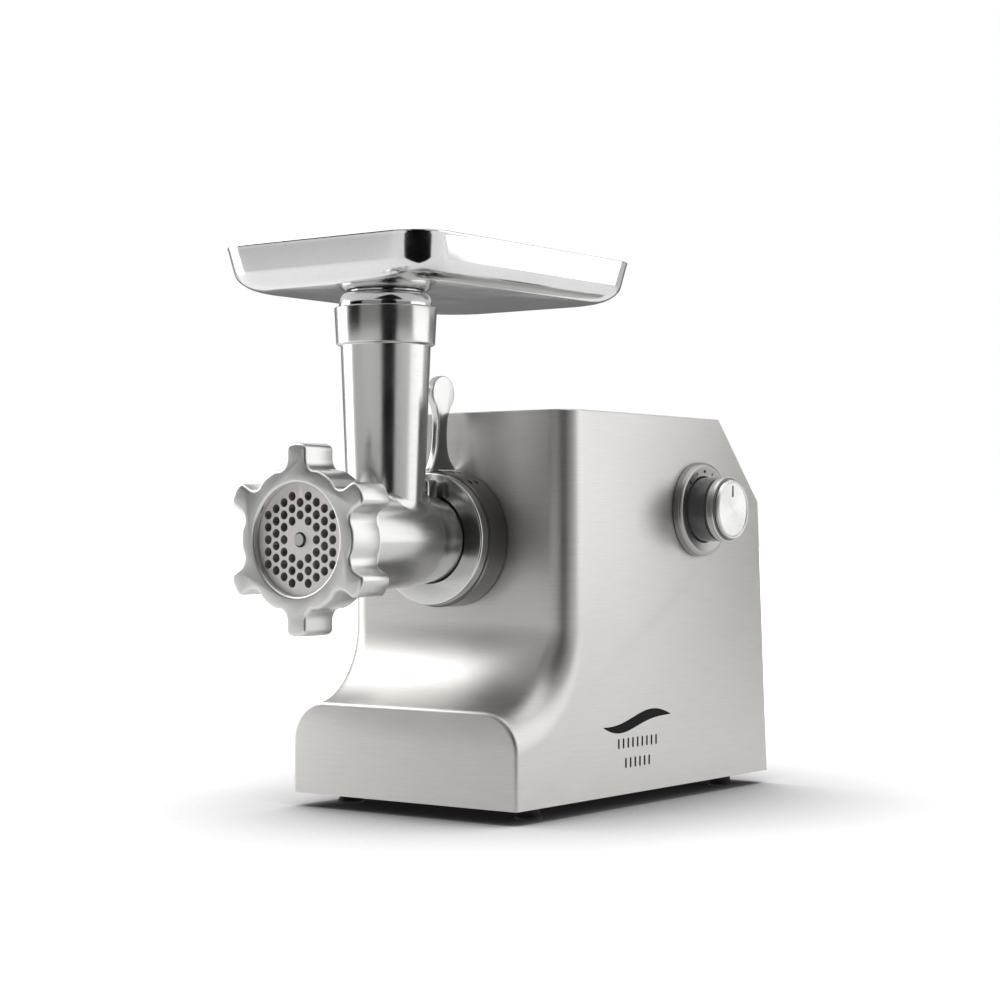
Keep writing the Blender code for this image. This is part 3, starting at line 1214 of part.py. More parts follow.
def make_gearbox():
    """Die-cast gearbox: a cup that holds the wheels and a flat rear cover."""
    low, high = gearbox_limits()
    middle = ((low[0] + high[0]) / 2, (low[1] + high[1]) / 2)
    width = high[0] - low[0]
    height = high[1] - low[1]
    outer = rounded_rectangle(width + 2 * GEARBOX_SIDE_WALL, height + 2 * GEARBOX_SIDE_WALL,
                              GEARBOX_CORNER, 4, middle)
    inner = rounded_rectangle(width, height, GEARBOX_CORNER - GEARBOX_SIDE_WALL, 4, middle)
    floor = GEARBOX_FRONT_Y + GEARBOX_WALL
    front_holes = [circle(OUTPUT_BEARING_RADIUS + GAP, MEDIUM, OUTPUT_CENTRE),
                   circle(SHAFT_BUSH_RADIUS + GAP, COARSE, SECOND_CENTRE),
                   circle(SHAFT_BUSH_RADIUS + GAP, COARSE, FIRST_CENTRE)]
    cup = prism("gearbox_cup", [outer], GEARBOX_FRONT_Y, GEARBOX_REAR_Y - GAP, CAST_ALUMINIUM)
    hollow = prism("cut_gearbox_hollow", [inner], floor, GEARBOX_REAR_Y + 5, None)
    cut(cup, hollow)
    for index, hole in enumerate(front_holes):
        cut(cup, prism("cut_gearbox_seat_%d" % index, [hole], GEARBOX_FRONT_Y - 5, floor + 5,
                       None))
    rear_holes = front_holes + [circle(SHAFT_RADIUS + 1.5, COARSE, MOTOR_CENTRE)]
    prism("gearbox_cover", [outer] + rear_holes, GEARBOX_REAR_Y, GEARBOX_REAR_Y + GEARBOX_WALL,
          CAST_ALUMINIUM)


# ---------------------------------------------------------------- motor

def spoked_outline(count, outer, inner, fill):
    """Outline that steps between two radii, such as a slotted core or a set of blades."""
    points = []
    for index in range(count):
        start = 2 * math.pi * index / count
        half = math.pi / count * fill
        rest = math.pi / count
        for radius, angle in ((outer, -half), (outer, half), (inner, half),
                              (inner, 2 * rest - half)):
            a = start + angle
            points.append((radius * math.cos(a), radius * math.sin(a)))
    return points


def bolt_places():
    """The two corners of the motor that its tie bolts pass through."""
    x, z = MOTOR_CENTRE
    return (("upper", x + BOLT_OFFSET, z + BOLT_OFFSET),
            ("lower", x - BOLT_OFFSET, z - BOLT_OFFSET))


def make_motor_field():
    """Laminated stator and its two field coils."""
    x, z = MOTOR_CENTRE
    start = MOTOR_CENTRE_Y - STATOR_LENGTH / 2
    end = MOTOR_CENTRE_Y + STATOR_LENGTH / 2
    holes = [circle(BOLT_RADIUS + GAP, 12, (bx - x, bz - z)) for _, bx, bz in bolt_places()]
    sheet = rounded_rectangle(STATOR_SIZE, STATOR_SIZE, STATOR_CORNER, 3)
    stator = prism("motor_stator", [sheet] + holes, start, end, HARD_STEEL, MOTOR_CENTRE)
    bore = rod("cut_stator_bore", STATOR_BORE, start - 5, end + 5, MOTOR_CENTRE, None)
    window = box("cut_stator_window",
                 (x - STATOR_WINDOW_HALF_WIDTH, start - 5, z - STATOR_WINDOW_HALF_HEIGHT),
                 (x + STATOR_WINDOW_HALF_WIDTH, end + 5, z + STATOR_WINDOW_HALF_HEIGHT), None)
    cut(stator, bore, window)
    outer = rounded_rectangle(COIL_WIDTH, COIL_LENGTH, STATOR_CORNER, 3)
    inner = rounded_rectangle(COIL_WIDTH - 2 * COIL_SIDE, COIL_LENGTH - 2 * COIL_SIDE, 4.0, 2)
    for name, low, high in (("field_coil_upper", z + COIL_LOW, z + COIL_HIGH),
                            ("field_coil_lower", z - COIL_HIGH, z - COIL_LOW)):
        prism(name, [outer, inner], low, high, COPPER, (x, MOTOR_CENTRE_Y), UP)


def make_rotor():
    """Rotor: shaft with its pinion, armature, commutator and fan."""
    make_pinion_shaft("rotor_shaft", FIRST_MODULE, MOTOR_DIRECTION + math.pi, FIRST_GEAR_Y,
                      FIRST_GEAR_WIDTH, MOTOR_CENTRE,
                      (FIRST_GEAR_Y - PINION_EXTRA + 0.5, BRACKET_REAR_Y + BRACKET_THICKNESS + 3))
    start = MOTOR_CENTRE_Y - ARMATURE_LENGTH / 2
    bore = SHAFT_RADIUS + GAP
    slotted = spoked_outline(ARMATURE_SLOTS, ARMATURE_RADIUS, ARMATURE_RADIUS - 3.0, 0.7)
    core = prism("armature", [slotted], start, start + ARMATURE_LENGTH, HARD_STEEL, MOTOR_CENTRE)
    winding = rod("armature_winding", WINDING_RADIUS, MOTOR_CENTRE_Y - WINDING_LENGTH / 2,
                  MOTOR_CENTRE_Y + WINDING_LENGTH / 2, MOTOR_CENTRE, None, sides=COARSE)
    join(core, winding)
    cut(core, rod("cut_armature_bore", bore, MOTOR_CENTRE_Y - WINDING_LENGTH,
                  MOTOR_CENTRE_Y + WINDING_LENGTH,
                  MOTOR_CENTRE, None, sides=COARSE))
    bars = spoked_outline(COMMUTATOR_BARS, COMMUTATOR_RADIUS, COMMUTATOR_RADIUS - 0.8, 0.75)
    prism("commutator", [bars, circle(bore, COARSE)], COMMUTATOR_Y,
          COMMUTATOR_Y + COMMUTATOR_LENGTH, COPPER, MOTOR_CENTRE)
    fan_end = MOTOR_CENTRE_Y - COIL_LENGTH / 2 - MOTOR_SPACE
    blades = spoked_outline(FAN_BLADES, FAN_RADIUS, FAN_HUB, 0.22)
    prism("cooling_fan", [blades, circle(bore, COARSE)], fan_end - FAN_WIDTH, fan_end,
          BLACK_PLASTIC, MOTOR_CENTRE)


def make_motor_frame():
    """End brackets, bearings and tie bolts of the motor."""
    x, z = MOTOR_CENTRE
    low = CASE_FLOOR + BOTTOM_RECESS + BOTTOM_THICKNESS + GAP
    high = z + BRACKET_WIDTH / 2
    outline = rounded_rectangle(BRACKET_WIDTH, high - low, 8.0, 4, (0, (low + high) / 2 - z))
    holes = [circle(MOTOR_BEARING_RADIUS + GAP, COARSE)]
    holes += [circle(BOLT_RADIUS + GAP, 12, (bx - x, bz - z)) for _, bx, bz in bolt_places()]
    vents = [rounded_rectangle(10.0, 26.0, 4.0, 3, (side * 24.0, 0)) for side in (-1, 1)]
    for name, start in (("motor_bracket_front", BRACKET_FRONT_Y),
                        ("motor_bracket_rear", BRACKET_REAR_Y)):
        end = start + BRACKET_THICKNESS
        prism(name, [outline] + holes + vents, start, end, CAST_ALUMINIUM, MOTOR_CENTRE)
        bearing = name.replace("bracket", "bearing")
        ring(bearing, MOTOR_BEARING_RADIUS, SHAFT_RADIUS + SLIDE_GAP, start - 0.5, end + 0.5,
             MOTOR_CENTRE, HARD_STEEL, steps=COARSE)
    rear = BRACKET_REAR_Y + BRACKET_THICKNESS + GAP
    for name, bolt_x, bolt_z in bolt_places():
        profile = [(0, rear + 3.0), (4.0, rear + 3.0), (4.0, rear), (BOLT_RADIUS, rear),
                   (BOLT_RADIUS, BRACKET_FRONT_Y - 1.0), (0, BRACKET_FRONT_Y - 1.0)]
        turned("motor_bolt_" + name, profile, HARD_STEEL, (bolt_x, 0, bolt_z), steps=SMALL)


def make_brushes():
    """Carbon brushes and their holders, on either side of the commutator."""
    x, z = MOTOR_CENTRE
    holder_half = BRUSH_HEIGHT / 2 + 3.5
    middle = COMMUTATOR_Y + COMMUTATOR_LENGTH / 2
    for name, side in (("left", -1), ("right", 1)):
        start = COMMUTATOR_RADIUS + 0.5
        spans = sorted((x + side * start, x + side * (start + BRUSH_LENGTH)))
        box("carbon_brush_" + name, (spans[0], middle - BRUSH_WIDTH / 2, z - BRUSH_HEIGHT / 2),
            (spans[1], middle + BRUSH_WIDTH / 2, z + BRUSH_HEIGHT / 2), CARBON)
        spans = sorted((x + side * (start + 2.0), x + side * (start + BRUSH_LENGTH + 3.0)))
        front = middle - BRUSH_WIDTH / 2 - BRUSH_HOLDER_WALL
        holder = box("brush_holder_" + name, (spans[0], front, z - holder_half),
                     (spans[1], BRACKET_REAR_Y - GAP, z + holder_half), BRONZE)
        way = box("cut_brush_way_" + name,
                  (spans[0] - 5, middle - BRUSH_WIDTH / 2 - GAP, z - BRUSH_HEIGHT / 2 - GAP),
                  (spans[1] + 5, middle + BRUSH_WIDTH / 2 + GAP, z + BRUSH_HEIGHT / 2 + GAP),
                  None)
        cut(holder, way)


# ---------------------------------------------------------------- switch and knob

def make_knob():
    """Bezel, knob with its stem, knob cap and the rotary switch behind them."""
    side = CASE_WIDTH / 2
    inner = KNOB_RADIUS + SLIDE_GAP
    turned("knob_bezel", [
        (inner, BEZEL_THICKNESS - 1.2), (BEZEL_RADIUS - 4.5, BEZEL_THICKNESS),
        (BEZEL_RADIUS - 1.6, BEZEL_THICKNESS - 0.6), (BEZEL_RADIUS, BEZEL_THICKNESS - 2.2),
        (BEZEL_RADIUS, 0), (inner, 0)],
        BRUSHED_STEEL, (side + GAP, KNOB_Y, KNOB_Z), ALONG_X, FINE)
    start = KNOB_START
    end = start + KNOB_LENGTH
    stem = KNOB_START - STEM_LENGTH
    turned("knob_body", [
        (0, end), (KNOB_RADIUS - 0.9, end), (KNOB_RADIUS - 0.2, end - 0.7),
        (KNOB_RADIUS, start + 6.0), (KNOB_RADIUS, start), (STEM_RADIUS, start),
        (STEM_RADIUS, stem), (0, stem)],
        GREY_PLASTIC, (side, KNOB_Y, KNOB_Z), ALONG_X, MEDIUM)
    cap = end + GAP
    turned("knob_cap", [
        (0, cap + CAP_THICKNESS - 0.5), (CAP_RADIUS - 2.2, cap + CAP_THICKNESS - 0.5),
        (CAP_RADIUS - 1.2, cap + CAP_THICKNESS), (CAP_RADIUS, cap + CAP_THICKNESS - 0.8),
        (CAP_RADIUS, cap), (0, cap)], POLISHED_ALUMINIUM, (side, KNOB_Y, KNOB_Z), ALONG_X, MEDIUM)
    face = side - CASE_WALL - GAP
    half = SWITCH_SIZE / 2
    switch = box("rotary_switch", (face - SWITCH_DEPTH, KNOB_Y - half, KNOB_Z - half),
                 (face, KNOB_Y + half, KNOB_Z + half), BLACK_PLASTIC)
    bore = rod("cut_switch_bore", STEM_RADIUS + SLIDE_GAP, side + stem - 1.0, side + 5,
               (KNOB_Y, KNOB_Z), None, axis=ALONG_X, sides=24)
    cut(switch, bore)


def centre_machine():
    """Move the machine so that its outer box is centred over the origin."""
    knob_end = CASE_WIDTH / 2 + KNOB_START + KNOB_LENGTH + GAP + CAP_THICKNESS
    lean = math.radians(rear_lean())
    inlet_y = (rear_y(inlet_height()) + INLET_HEAD * math.cos(lean)
               + (INLET_RADIUS - INLET_CHAMFER) * math.sin(lean))
    rear = max(CASE_LENGTH, inlet_y)
    MACHINE.location = (-(knob_end - CASE_WIDTH / 2) / 2 * MM, -(NUT_FACE_Y + rear) / 2 * MM, 0)


def main():
    """Build every sub-part."""
    make_casing()
    make_bottom_cover()
    make_feet()
    make_back_panel()
    make_cord_inlet()
    make_front_boss()
    make_lock_ring()
    make_lock_lever()
    make_grinder_head()
    make_head_bush()
    make_ring_nut()
    make_grinding_plate()
    make_knife()
    make_auger()
    make_auger_driver()
    make_tray()
    make_tray_neck()
    make_gears()
    make_output_shaft()
    make_bearings()
    make_gearbox()
    make_motor_field()
    make_rotor()
    make_motor_frame()
    make_brushes()
    make_knob()
    centre_machine()


main()
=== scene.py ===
"""Looks of a countertop electric meat grinder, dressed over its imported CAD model.

Sizes in the classes are millimetres from the machine's own datum: X from the middle of the
case to the knob side, Y from the foot of the front plate to the rear, and Z from the ground.
"""
import json
import logging
import math
from dataclasses import dataclass
from enum import Enum
from typing import Any, Iterable, Sequence

import bmesh
import bpy
from mathutils import Euler, Matrix, Vector

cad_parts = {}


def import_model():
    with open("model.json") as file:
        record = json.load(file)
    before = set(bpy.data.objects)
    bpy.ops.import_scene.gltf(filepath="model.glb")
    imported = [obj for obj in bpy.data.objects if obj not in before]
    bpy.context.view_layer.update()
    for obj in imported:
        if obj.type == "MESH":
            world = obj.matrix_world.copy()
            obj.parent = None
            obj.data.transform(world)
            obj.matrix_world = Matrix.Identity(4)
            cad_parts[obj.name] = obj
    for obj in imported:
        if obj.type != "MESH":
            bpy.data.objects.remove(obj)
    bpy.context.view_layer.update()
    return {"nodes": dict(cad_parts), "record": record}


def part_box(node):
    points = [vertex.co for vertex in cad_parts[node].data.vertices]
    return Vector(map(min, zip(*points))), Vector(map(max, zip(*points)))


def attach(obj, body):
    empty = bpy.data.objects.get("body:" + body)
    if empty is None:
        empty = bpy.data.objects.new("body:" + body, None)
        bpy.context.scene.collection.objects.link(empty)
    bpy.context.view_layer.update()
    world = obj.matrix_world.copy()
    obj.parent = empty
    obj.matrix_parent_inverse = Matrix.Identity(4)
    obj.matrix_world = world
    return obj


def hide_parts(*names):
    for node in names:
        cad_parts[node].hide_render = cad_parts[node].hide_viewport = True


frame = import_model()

MM = 0.001
AXIS_Z = 144.7       # head's axis above the ground
FEED_Y = -12.0       # feed tube's axis
FACE_Y = 45.8        # upper face of the case
NUT_FACE_Y = -82.0   # front of the ring nut
KNOB_Y = 173.0
KNOB_Z = 161.0
log = logging.getLogger("meat_grinder")

Point = tuple[float, float]
Point3 = tuple[float, float, float]


class Axis(Enum):
    """Direction that a turned piece's height runs along."""

    X = (1.0, 0.0, 0.0)
    Y = (0.0, 1.0, 0.0)
    Z = (0.0, 0.0, 1.0)


class Body(Enum):
    """Moving bodies of the machine."""

    MACHINE = "machine"
    HEAD = "head"
    AUGER = "auger_drive"
    PLATE = "plate"
    NUT = "nut"
    TRAY = "tray_top"
    LOCK = "lock"
    KNOB = "knob"


# ---------------------------------------------------------------- datum

def datum() -> Vector:
    """World place of the machine's datum: under the case's middle, at its front plate."""
    low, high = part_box("casing")
    return Vector(((low[0] + high[0]) / 2, low[1], 0.0))


DATUM = datum()


def world(x: float, y: float, z: float) -> Vector:
    """World place of a point that is given in millimetres from the datum."""
    return DATUM + Vector((x, y, z)) * MM


def local_box(node: str) -> tuple[Vector, Vector]:
    """Low and high corner of a CAD node, in millimetres from the datum."""
    low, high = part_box(node)
    return (Vector(low) - DATUM) / MM, (Vector(high) - DATUM) / MM


# ---------------------------------------------------------------- outlines

def arc(centre: Point, radius: float, start: float, end: float, segments: int) -> list[Point]:
    """Points of an arc.

    Args:
        centre: Middle of the arc.
        radius: Its radius.
        start: First angle in degrees.
        end: Last angle in degrees.
        segments: Number of steps between them.

    Returns:
        The points from the first angle to the last.
    """
    turns = [math.radians(start + (end - start) * i / segments) for i in range(segments + 1)]
    return [(centre[0] + radius * math.cos(t), centre[1] + radius * math.sin(t)) for t in turns]


def rounded_rectangle(width: float, height: float, radius: float, segments: int,
                      centre: Point = (0.0, 0.0), side_steps: int = 1,
                      bow: float = 0.0) -> list[Point]:
    """Outline of a rectangle with round corners, anticlockwise from its right side.

    Args:
        width: Size along the first axis.
        height: Size along the second axis.
        radius: Corner radius.
        segments: Steps in each corner.
        centre: Middle of the rectangle.
        side_steps: Steps along each straight side.
        bow: How far the middle of each side stands out.

    Returns:
        The outline's points.
    """
    corners = []
    for index, (sx, sy) in enumerate(((1, 1), (-1, 1), (-1, -1), (1, -1))):
        middle = (sx * (width / 2 - radius), sy * (height / 2 - radius))
        corners.append(arc(middle, radius, 90 * index, 90 * index + 90, segments))
    points: list[Point] = []
    for index, corner in enumerate(corners):
        points += corner
        start, end = corner[-1], corners[(index + 1) % 4][0]
        for step in range(1, side_steps):
            share = step / side_steps
            points.append((start[0] + (end[0] - start[0]) * share,
                           start[1] + (end[1] - start[1]) * share))
    result = []
    for x, y in points:
        fx = max(0.0, 1 - (2 * x / width) ** 2)
        fy = max(0.0, 1 - (2 * y / height) ** 2)
        result.append((centre[0] + x + math.copysign(bow * fy, x) * (2 * abs(x) / width) ** 4,
                       centre[1] + y + math.copysign(bow * fx, y) * (2 * abs(y) / height) ** 4))
    return result


def offset_outline(points: Sequence[Point], inset: float) -> list[Point]:
    """Move each point of a closed anticlockwise outline inwards.

    Args:
        points: The outline.
        inset: Distance, which is negative to move outwards.

    Returns:
        The moved outline, with as many points.
    """
    moved = []
    count = len(points)
    for index, (x, y) in enumerate(points):
        before = Vector(points[index - 1])
        after = Vector(points[(index + 1) % count])
        along = (after - before).normalized()
        moved.append((x - along.y * inset, y + along.x * inset))
    return moved


# ---------------------------------------------------------------- modelling by operators

def deselect_all() -> None:
    """Leave edit mode and select nothing."""
    if bpy.context.object and bpy.context.object.mode != "OBJECT":
        bpy.ops.object.mode_set(mode="OBJECT")
    bpy.ops.object.select_all(action="DESELECT")


def select_only(obj: bpy.types.Object) -> None:
    """Make one object active and the only one selected."""
    deselect_all()
    obj.select_set(True)
    bpy.context.view_layer.objects.active = obj


def start_chain(name: str, first: Vector) -> bpy.types.Object:
    """Begin a piece as one vertex in edit mode, made from a small plane."""
    deselect_all()
    bpy.ops.mesh.primitive_plane_add(size=MM, location=(0, 0, 0))
    obj = bpy.context.object
    obj.name = name
    bpy.ops.object.mode_set(mode="EDIT")
    bpy.ops.mesh.merge(type="CENTER")
    bpy.ops.transform.translate(value=first)
    return obj


def draw_chain(name: str, points: Sequence[Vector], closed: bool) -> bpy.types.Object:
    """Draw a line of vertices by extruding from point to point.

    Args:
        name: Name of the new object.
        points: World places of the vertices.
        closed: Whether the last is joined to the first.

    Returns:
        The object, in edit mode with everything selected.
    """
    obj = start_chain(name, points[0])
    for here, there in zip(points, points[1:]):
        bpy.ops.mesh.extrude_vertices_move(TRANSFORM_OT_translate={"value": there - here})
    if closed:
        bpy.ops.mesh.select_all(action="DESELECT")
        mesh = bmesh.from_edit_mesh(obj.data)
        mesh.verts.ensure_lookup_table()
        mesh.verts[0].select = True
        mesh.verts[len(mesh.verts) - 1].select = True
        bmesh.update_edit_mesh(obj.data)
        bpy.ops.mesh.edge_face_add()
    bpy.ops.mesh.select_all(action="SELECT")
    return obj


def lathe(name: str, profile: Sequence[Point], centre: Vector, axis: Axis,
          steps: int = 96) -> bpy.types.Object:
    """Spin a profile of (radius, height) points into a closed turned piece.

    Args:
        name: Name of the new object.
        profile: Points in millimetres. A profile that starts and ends on the axis is a solid,
            and any other closes on itself into a ring.
        centre: World place where the height is zero.
        axis: Direction of the height.
        steps: Sides of the full turn.

    Returns:
        The finished mesh object, at the origin.
    """
    along = Vector(axis.value)
    outward = Vector((0, 0, 1)) if axis is not Axis.Z else Vector((1, 0, 0))
    points = [centre + outward * (radius * MM) + along * (height * MM)
              for radius, height in profile]
    solid = profile[0][0] == 0 and profile[-1][0] == 0
    obj = draw_chain(name, points, not solid)
    bpy.ops.mesh.spin(steps=steps, angle=2 * math.pi, center=centre, axis=along)
    bpy.ops.mesh.select_all(action="SELECT")
    bpy.ops.mesh.remove_doubles(threshold=0.000002)
    bpy.ops.mesh.normals_make_consistent(inside=False)
    bpy.ops.object.mode_set(mode="OBJECT")
    return obj


def slab(name: str, outline: Sequence[Vector], depth: Vector) -> bpy.types.Object:
    """Draw a closed outline, fill it and extrude it into a solid."""
    obj = draw_chain(name, outline, True)
    bpy.ops.mesh.edge_face_add()
    bpy.ops.mesh.extrude_region_move(TRANSFORM_OT_translate={"value": depth})
    bpy.ops.mesh.select_all(action="SELECT")
    bpy.ops.mesh.normals_make_consistent(inside=False)
    bpy.ops.object.mode_set(mode="OBJECT")
    return obj


def loft(name: str, rings: Sequence[Sequence[Vector]], capped: bool) -> bpy.types.Object:
    """Extrude a ring of edges from section to section.

    Args:
        name: Name of the new object.
        rings: Sections with the same number of points, in world places.
        capped: Whether the ends are filled. If not, the last section is bridged to the first.

    Returns:
        The finished mesh object, at the origin.
    """
    deselect_all()
    count = len(rings[0])
    bpy.ops.mesh.primitive_circle_add(vertices=count, radius=MM, location=(0, 0, 0))
    obj = bpy.context.object
    obj.name = name
    bpy.ops.object.mode_set(mode="EDIT")
    mesh = bmesh.from_edit_mesh(obj.data)
    mesh.verts.ensure_lookup_table()
    current = list(range(count))
    for index, place in zip(current, rings[0]):
        mesh.verts[index].co = place
    bmesh.update_edit_mesh(obj.data)
    for ring in rings[1:]:
        before = len(mesh.verts)
        bpy.ops.mesh.extrude_edges_move()
        mesh = bmesh.from_edit_mesh(obj.data)
        mesh.verts.ensure_lookup_table()
        following = []
        for index, place in zip(current, ring):
            vertex = mesh.verts[index]
            new = [edge.other_vert(vertex) for edge in vertex.link_edges]
            new = [other for other in new if other.index >= before]
            new[0].co = place
            following.append(new[0].index)
        current = following
        bmesh.update_edit_mesh(obj.data)
    bpy.ops.mesh.select_all(action="DESELECT")
    mesh = bmesh.from_edit_mesh(obj.data)
    mesh.verts.ensure_lookup_table()
    ends = (list(range(count)), current)
    if capped:
        for end in ends:
            mesh.faces.new([mesh.verts[index] for index in end])
    else:
        for a, b in zip(range(count), range(1, count + 1)):
            first, last = ends
            b %= count
            mesh.faces.new([mesh.verts[i] for i in (last[a], last[b], first[b], first[a])])
    bmesh.update_edit_mesh(obj.data)
    bpy.ops.mesh.select_all(action="SELECT")
    bpy.ops.mesh.normals_make_consistent(inside=False)
    bpy.ops.object.mode_set(mode="OBJECT")
    return obj


def block(name: str, low: Vector, high: Vector) -> bpy.types.Object:
    """Add a box between two world corners, with its place in its mesh."""
    deselect_all()
    bpy.ops.mesh.primitive_cube_add(size=1, location=(low + high) / 2, scale=high - low)
    obj = bpy.context.object
    obj.name = name
    bpy.ops.object.transform_apply(location=True, rotation=True, scale=True)
    return obj


def rod(name: str, radius: float, start: Vector, end: Vector, sides: int = 32) -> bpy.types.Object:
    """Add a cylinder between two world places, with its place in its mesh."""
    deselect_all()
    turn = (end - start).to_track_quat("Z", "Y").to_euler()
    bpy.ops.mesh.primitive_cylinder_add(vertices=sides, radius=radius * MM,
                                        depth=(end - start).length, location=(start + end) / 2,
                                        rotation=turn)
    obj = bpy.context.object
    obj.name = name
    bpy.ops.object.transform_apply(location=True, rotation=True, scale=True)
    return obj


def apply_modifier(obj: bpy.types.Object, kind: str, **settings: Any) -> None:
    """Add a modifier with its settings and apply it."""
    select_only(obj)
    modifier = obj.modifiers.new(kind.lower(), kind)
    for key, value in settings.items():
        setattr(modifier, key, value)
    bpy.ops.object.modifier_apply(modifier=modifier.name)


def combine(obj: bpy.types.Object, other: bpy.types.Object, operation: str) -> bpy.types.Object:
    """Apply a Boolean with another object, and remove that object."""
    apply_modifier(obj, "BOOLEAN", object=other, operation=operation, solver="EXACT")
    bpy.data.objects.remove(other, do_unlink=True)
    return obj


def soften(obj: bpy.types.Object, width: float, segments: int = 3, angle: float = 40) -> None:
    """Round the edges that are sharper than an angle."""
    apply_modifier(obj, "BEVEL", width=width * MM, segments=segments, limit_method="ANGLE",
                   angle_limit=math.radians(angle), use_clamp_overlap=True,
                   harden_normals=False, miter_outer="MITER_ARC")


def join_pieces(pieces: Sequence[bpy.types.Object]) -> bpy.types.Object:
    """Join several mesh objects into the first."""
    select_only(pieces[0])
    for piece in pieces:
        piece.select_set(True)
    bpy.ops.object.join()
    return pieces[0]


def finish_piece(obj: bpy.types.Object, body: Body, material: bpy.types.Material,
                 stands_for: Iterable[str] = (), angle: float = 35) -> bpy.types.Object:
    """Shade, dress and hang a piece on its body.

    Args:
        obj: The piece, with its place in its mesh.
        body: Body that it moves with.
        material: Its finish.
        stands_for: CAD nodes that it replaces.
        angle: Edges sharper than this stay sharp, in degrees.

    Returns:
        The same object.
    """
    select_only(obj)
    bpy.ops.object.transform_apply(location=True, rotation=True, scale=True)
    bpy.ops.object.shade_smooth_by_angle(angle=math.radians(angle))
    obj.data.materials.clear()
    obj.data.materials.append(material)
    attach(obj, body.value)
    nodes = tuple(stands_for)
    if nodes:
        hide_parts(*nodes)
    log.info("%s rides on %s", obj.name, body.value)
    return obj


# ---------------------------------------------------------------- finishes

def linear(hex_colour: str) -> tuple[float, float, float, float]:
    """Linear colour of an sRGB hex value."""
    values = []
    for start in (1, 3, 5):
        value = int(hex_colour[start:start + 2], 16) / 255
        values.append(value / 12.92 if value <= 0.04045 else ((value + 0.055) / 1.055) ** 2.4)
    return (values[0], values[1], values[2], 1.0)


def add_node(tree: bpy.types.NodeTree, kind: str, inputs: dict[Any, Any] | None = None,
             **settings: Any) -> bpy.types.Node:
    """Add a node with its settings, values and links.

    Args:
        tree: Tree that it goes in.
        kind: The node's type.
        inputs: Value or source socket for each input.
        settings: Properties of the node.

    Returns:
        The node.
    """
    node = tree.nodes.new(kind)
    for key, value in settings.items():
        setattr(node, key, value)
    for key, value in (inputs or {}).items():
        if isinstance(value, bpy.types.NodeSocket):
            tree.links.new(value, node.inputs[key])
        else:
            node.inputs[key].default_value = value
    return node


def new_material(name: str) -> tuple[bpy.types.Material, bpy.types.NodeTree, bpy.types.Node]:
    """Make a material with only its Principled shader and output."""
    material = bpy.data.materials.new(name)
    material.use_nodes = True
    tree = material.node_tree
    tree.nodes.clear()
    shader = add_node(tree, "ShaderNodeBsdfPrincipled")
    add_node(tree, "ShaderNodeOutputMaterial", {"Surface": shader.outputs[0]})
    return material, tree, shader


def noise(tree: bpy.types.NodeTree, place: Any, scale: Sequence[float], detail: float = 3.0,
          roughness: float = 0.5) -> bpy.types.NodeSocket:
    """Noise over a coordinate, with cells per metre along each axis."""
    mapping = add_node(tree, "ShaderNodeMapping", {"Vector": place, "Scale": tuple(scale)})
    cells = add_node(tree, "ShaderNodeTexNoise",
                     {"Vector": mapping.outputs[0], "Scale": 1.0, "Detail": detail,
                      "Roughness": roughness})
    return cells.outputs["Fac"]


def spread(tree: bpy.types.NodeTree, value: Any, low: float, high: float,
           source: Point = (0.3, 0.7)) -> bpy.types.NodeSocket:
    """Map a value from a range to another."""
    node = add_node(tree, "ShaderNodeMapRange",
                    {"Value": value, "From Min": source[0], "From Max": source[1],
                     "To Min": low, "To Max": high})
    return node.outputs["Result"]


def blend_colours(tree: bpy.types.NodeTree, share: Any, first: str,
                  second: str) -> bpy.types.NodeSocket:
    """Mix two hex colours by a share."""
    node = add_node(tree, "ShaderNodeMix", {"Factor": share}, data_type="RGBA")
    node.inputs[6].default_value = linear(first)
    node.inputs[7].default_value = linear(second)
    return node.outputs[2]


def mix_values(tree: bpy.types.NodeTree, share: Any, first: Any,
               second: Any) -> bpy.types.NodeSocket:
    """Mix two values by a share."""
    node = add_node(tree, "ShaderNodeMix", {"Factor": share}, data_type="FLOAT")
    for index, value in ((2, first), (3, second)):
        if isinstance(value, bpy.types.NodeSocket):
            tree.links.new(value, node.inputs[index])
        else:
            node.inputs[index].default_value = value
    return node.outputs[0]


def wire_surface(tree: bpy.types.NodeTree, shader: bpy.types.Node, colour: Any, rough: Any,
                 height: Any, strength: float, depth: float) -> None:
    """Give a shader its colour, roughness and bump.

    Args:
        tree: Tree that the shader is in.
        shader: The Principled shader.
        colour: Source of the colour.
        rough: Source of the roughness.
        height: Source of the bump's height.
        strength: Strength of the bump.
        depth: Depth of the bump in metres.
    """
    bump = add_node(tree, "ShaderNodeBump",
                    {"Height": height, "Strength": strength, "Distance": depth})
    tree.links.new(colour, shader.inputs["Base Color"])
    tree.links.new(rough, shader.inputs["Roughness"])
    tree.links.new(bump.outputs[0], shader.inputs["Normal"])


def math_node(tree: bpy.types.NodeTree, operation: str, first: Any,
              second: Any = 0.0) -> bpy.types.NodeSocket:
    """Do a sum on two values."""
    return add_node(tree, "ShaderNodeMath", {0: first, 1: second}, operation=operation).outputs[0]


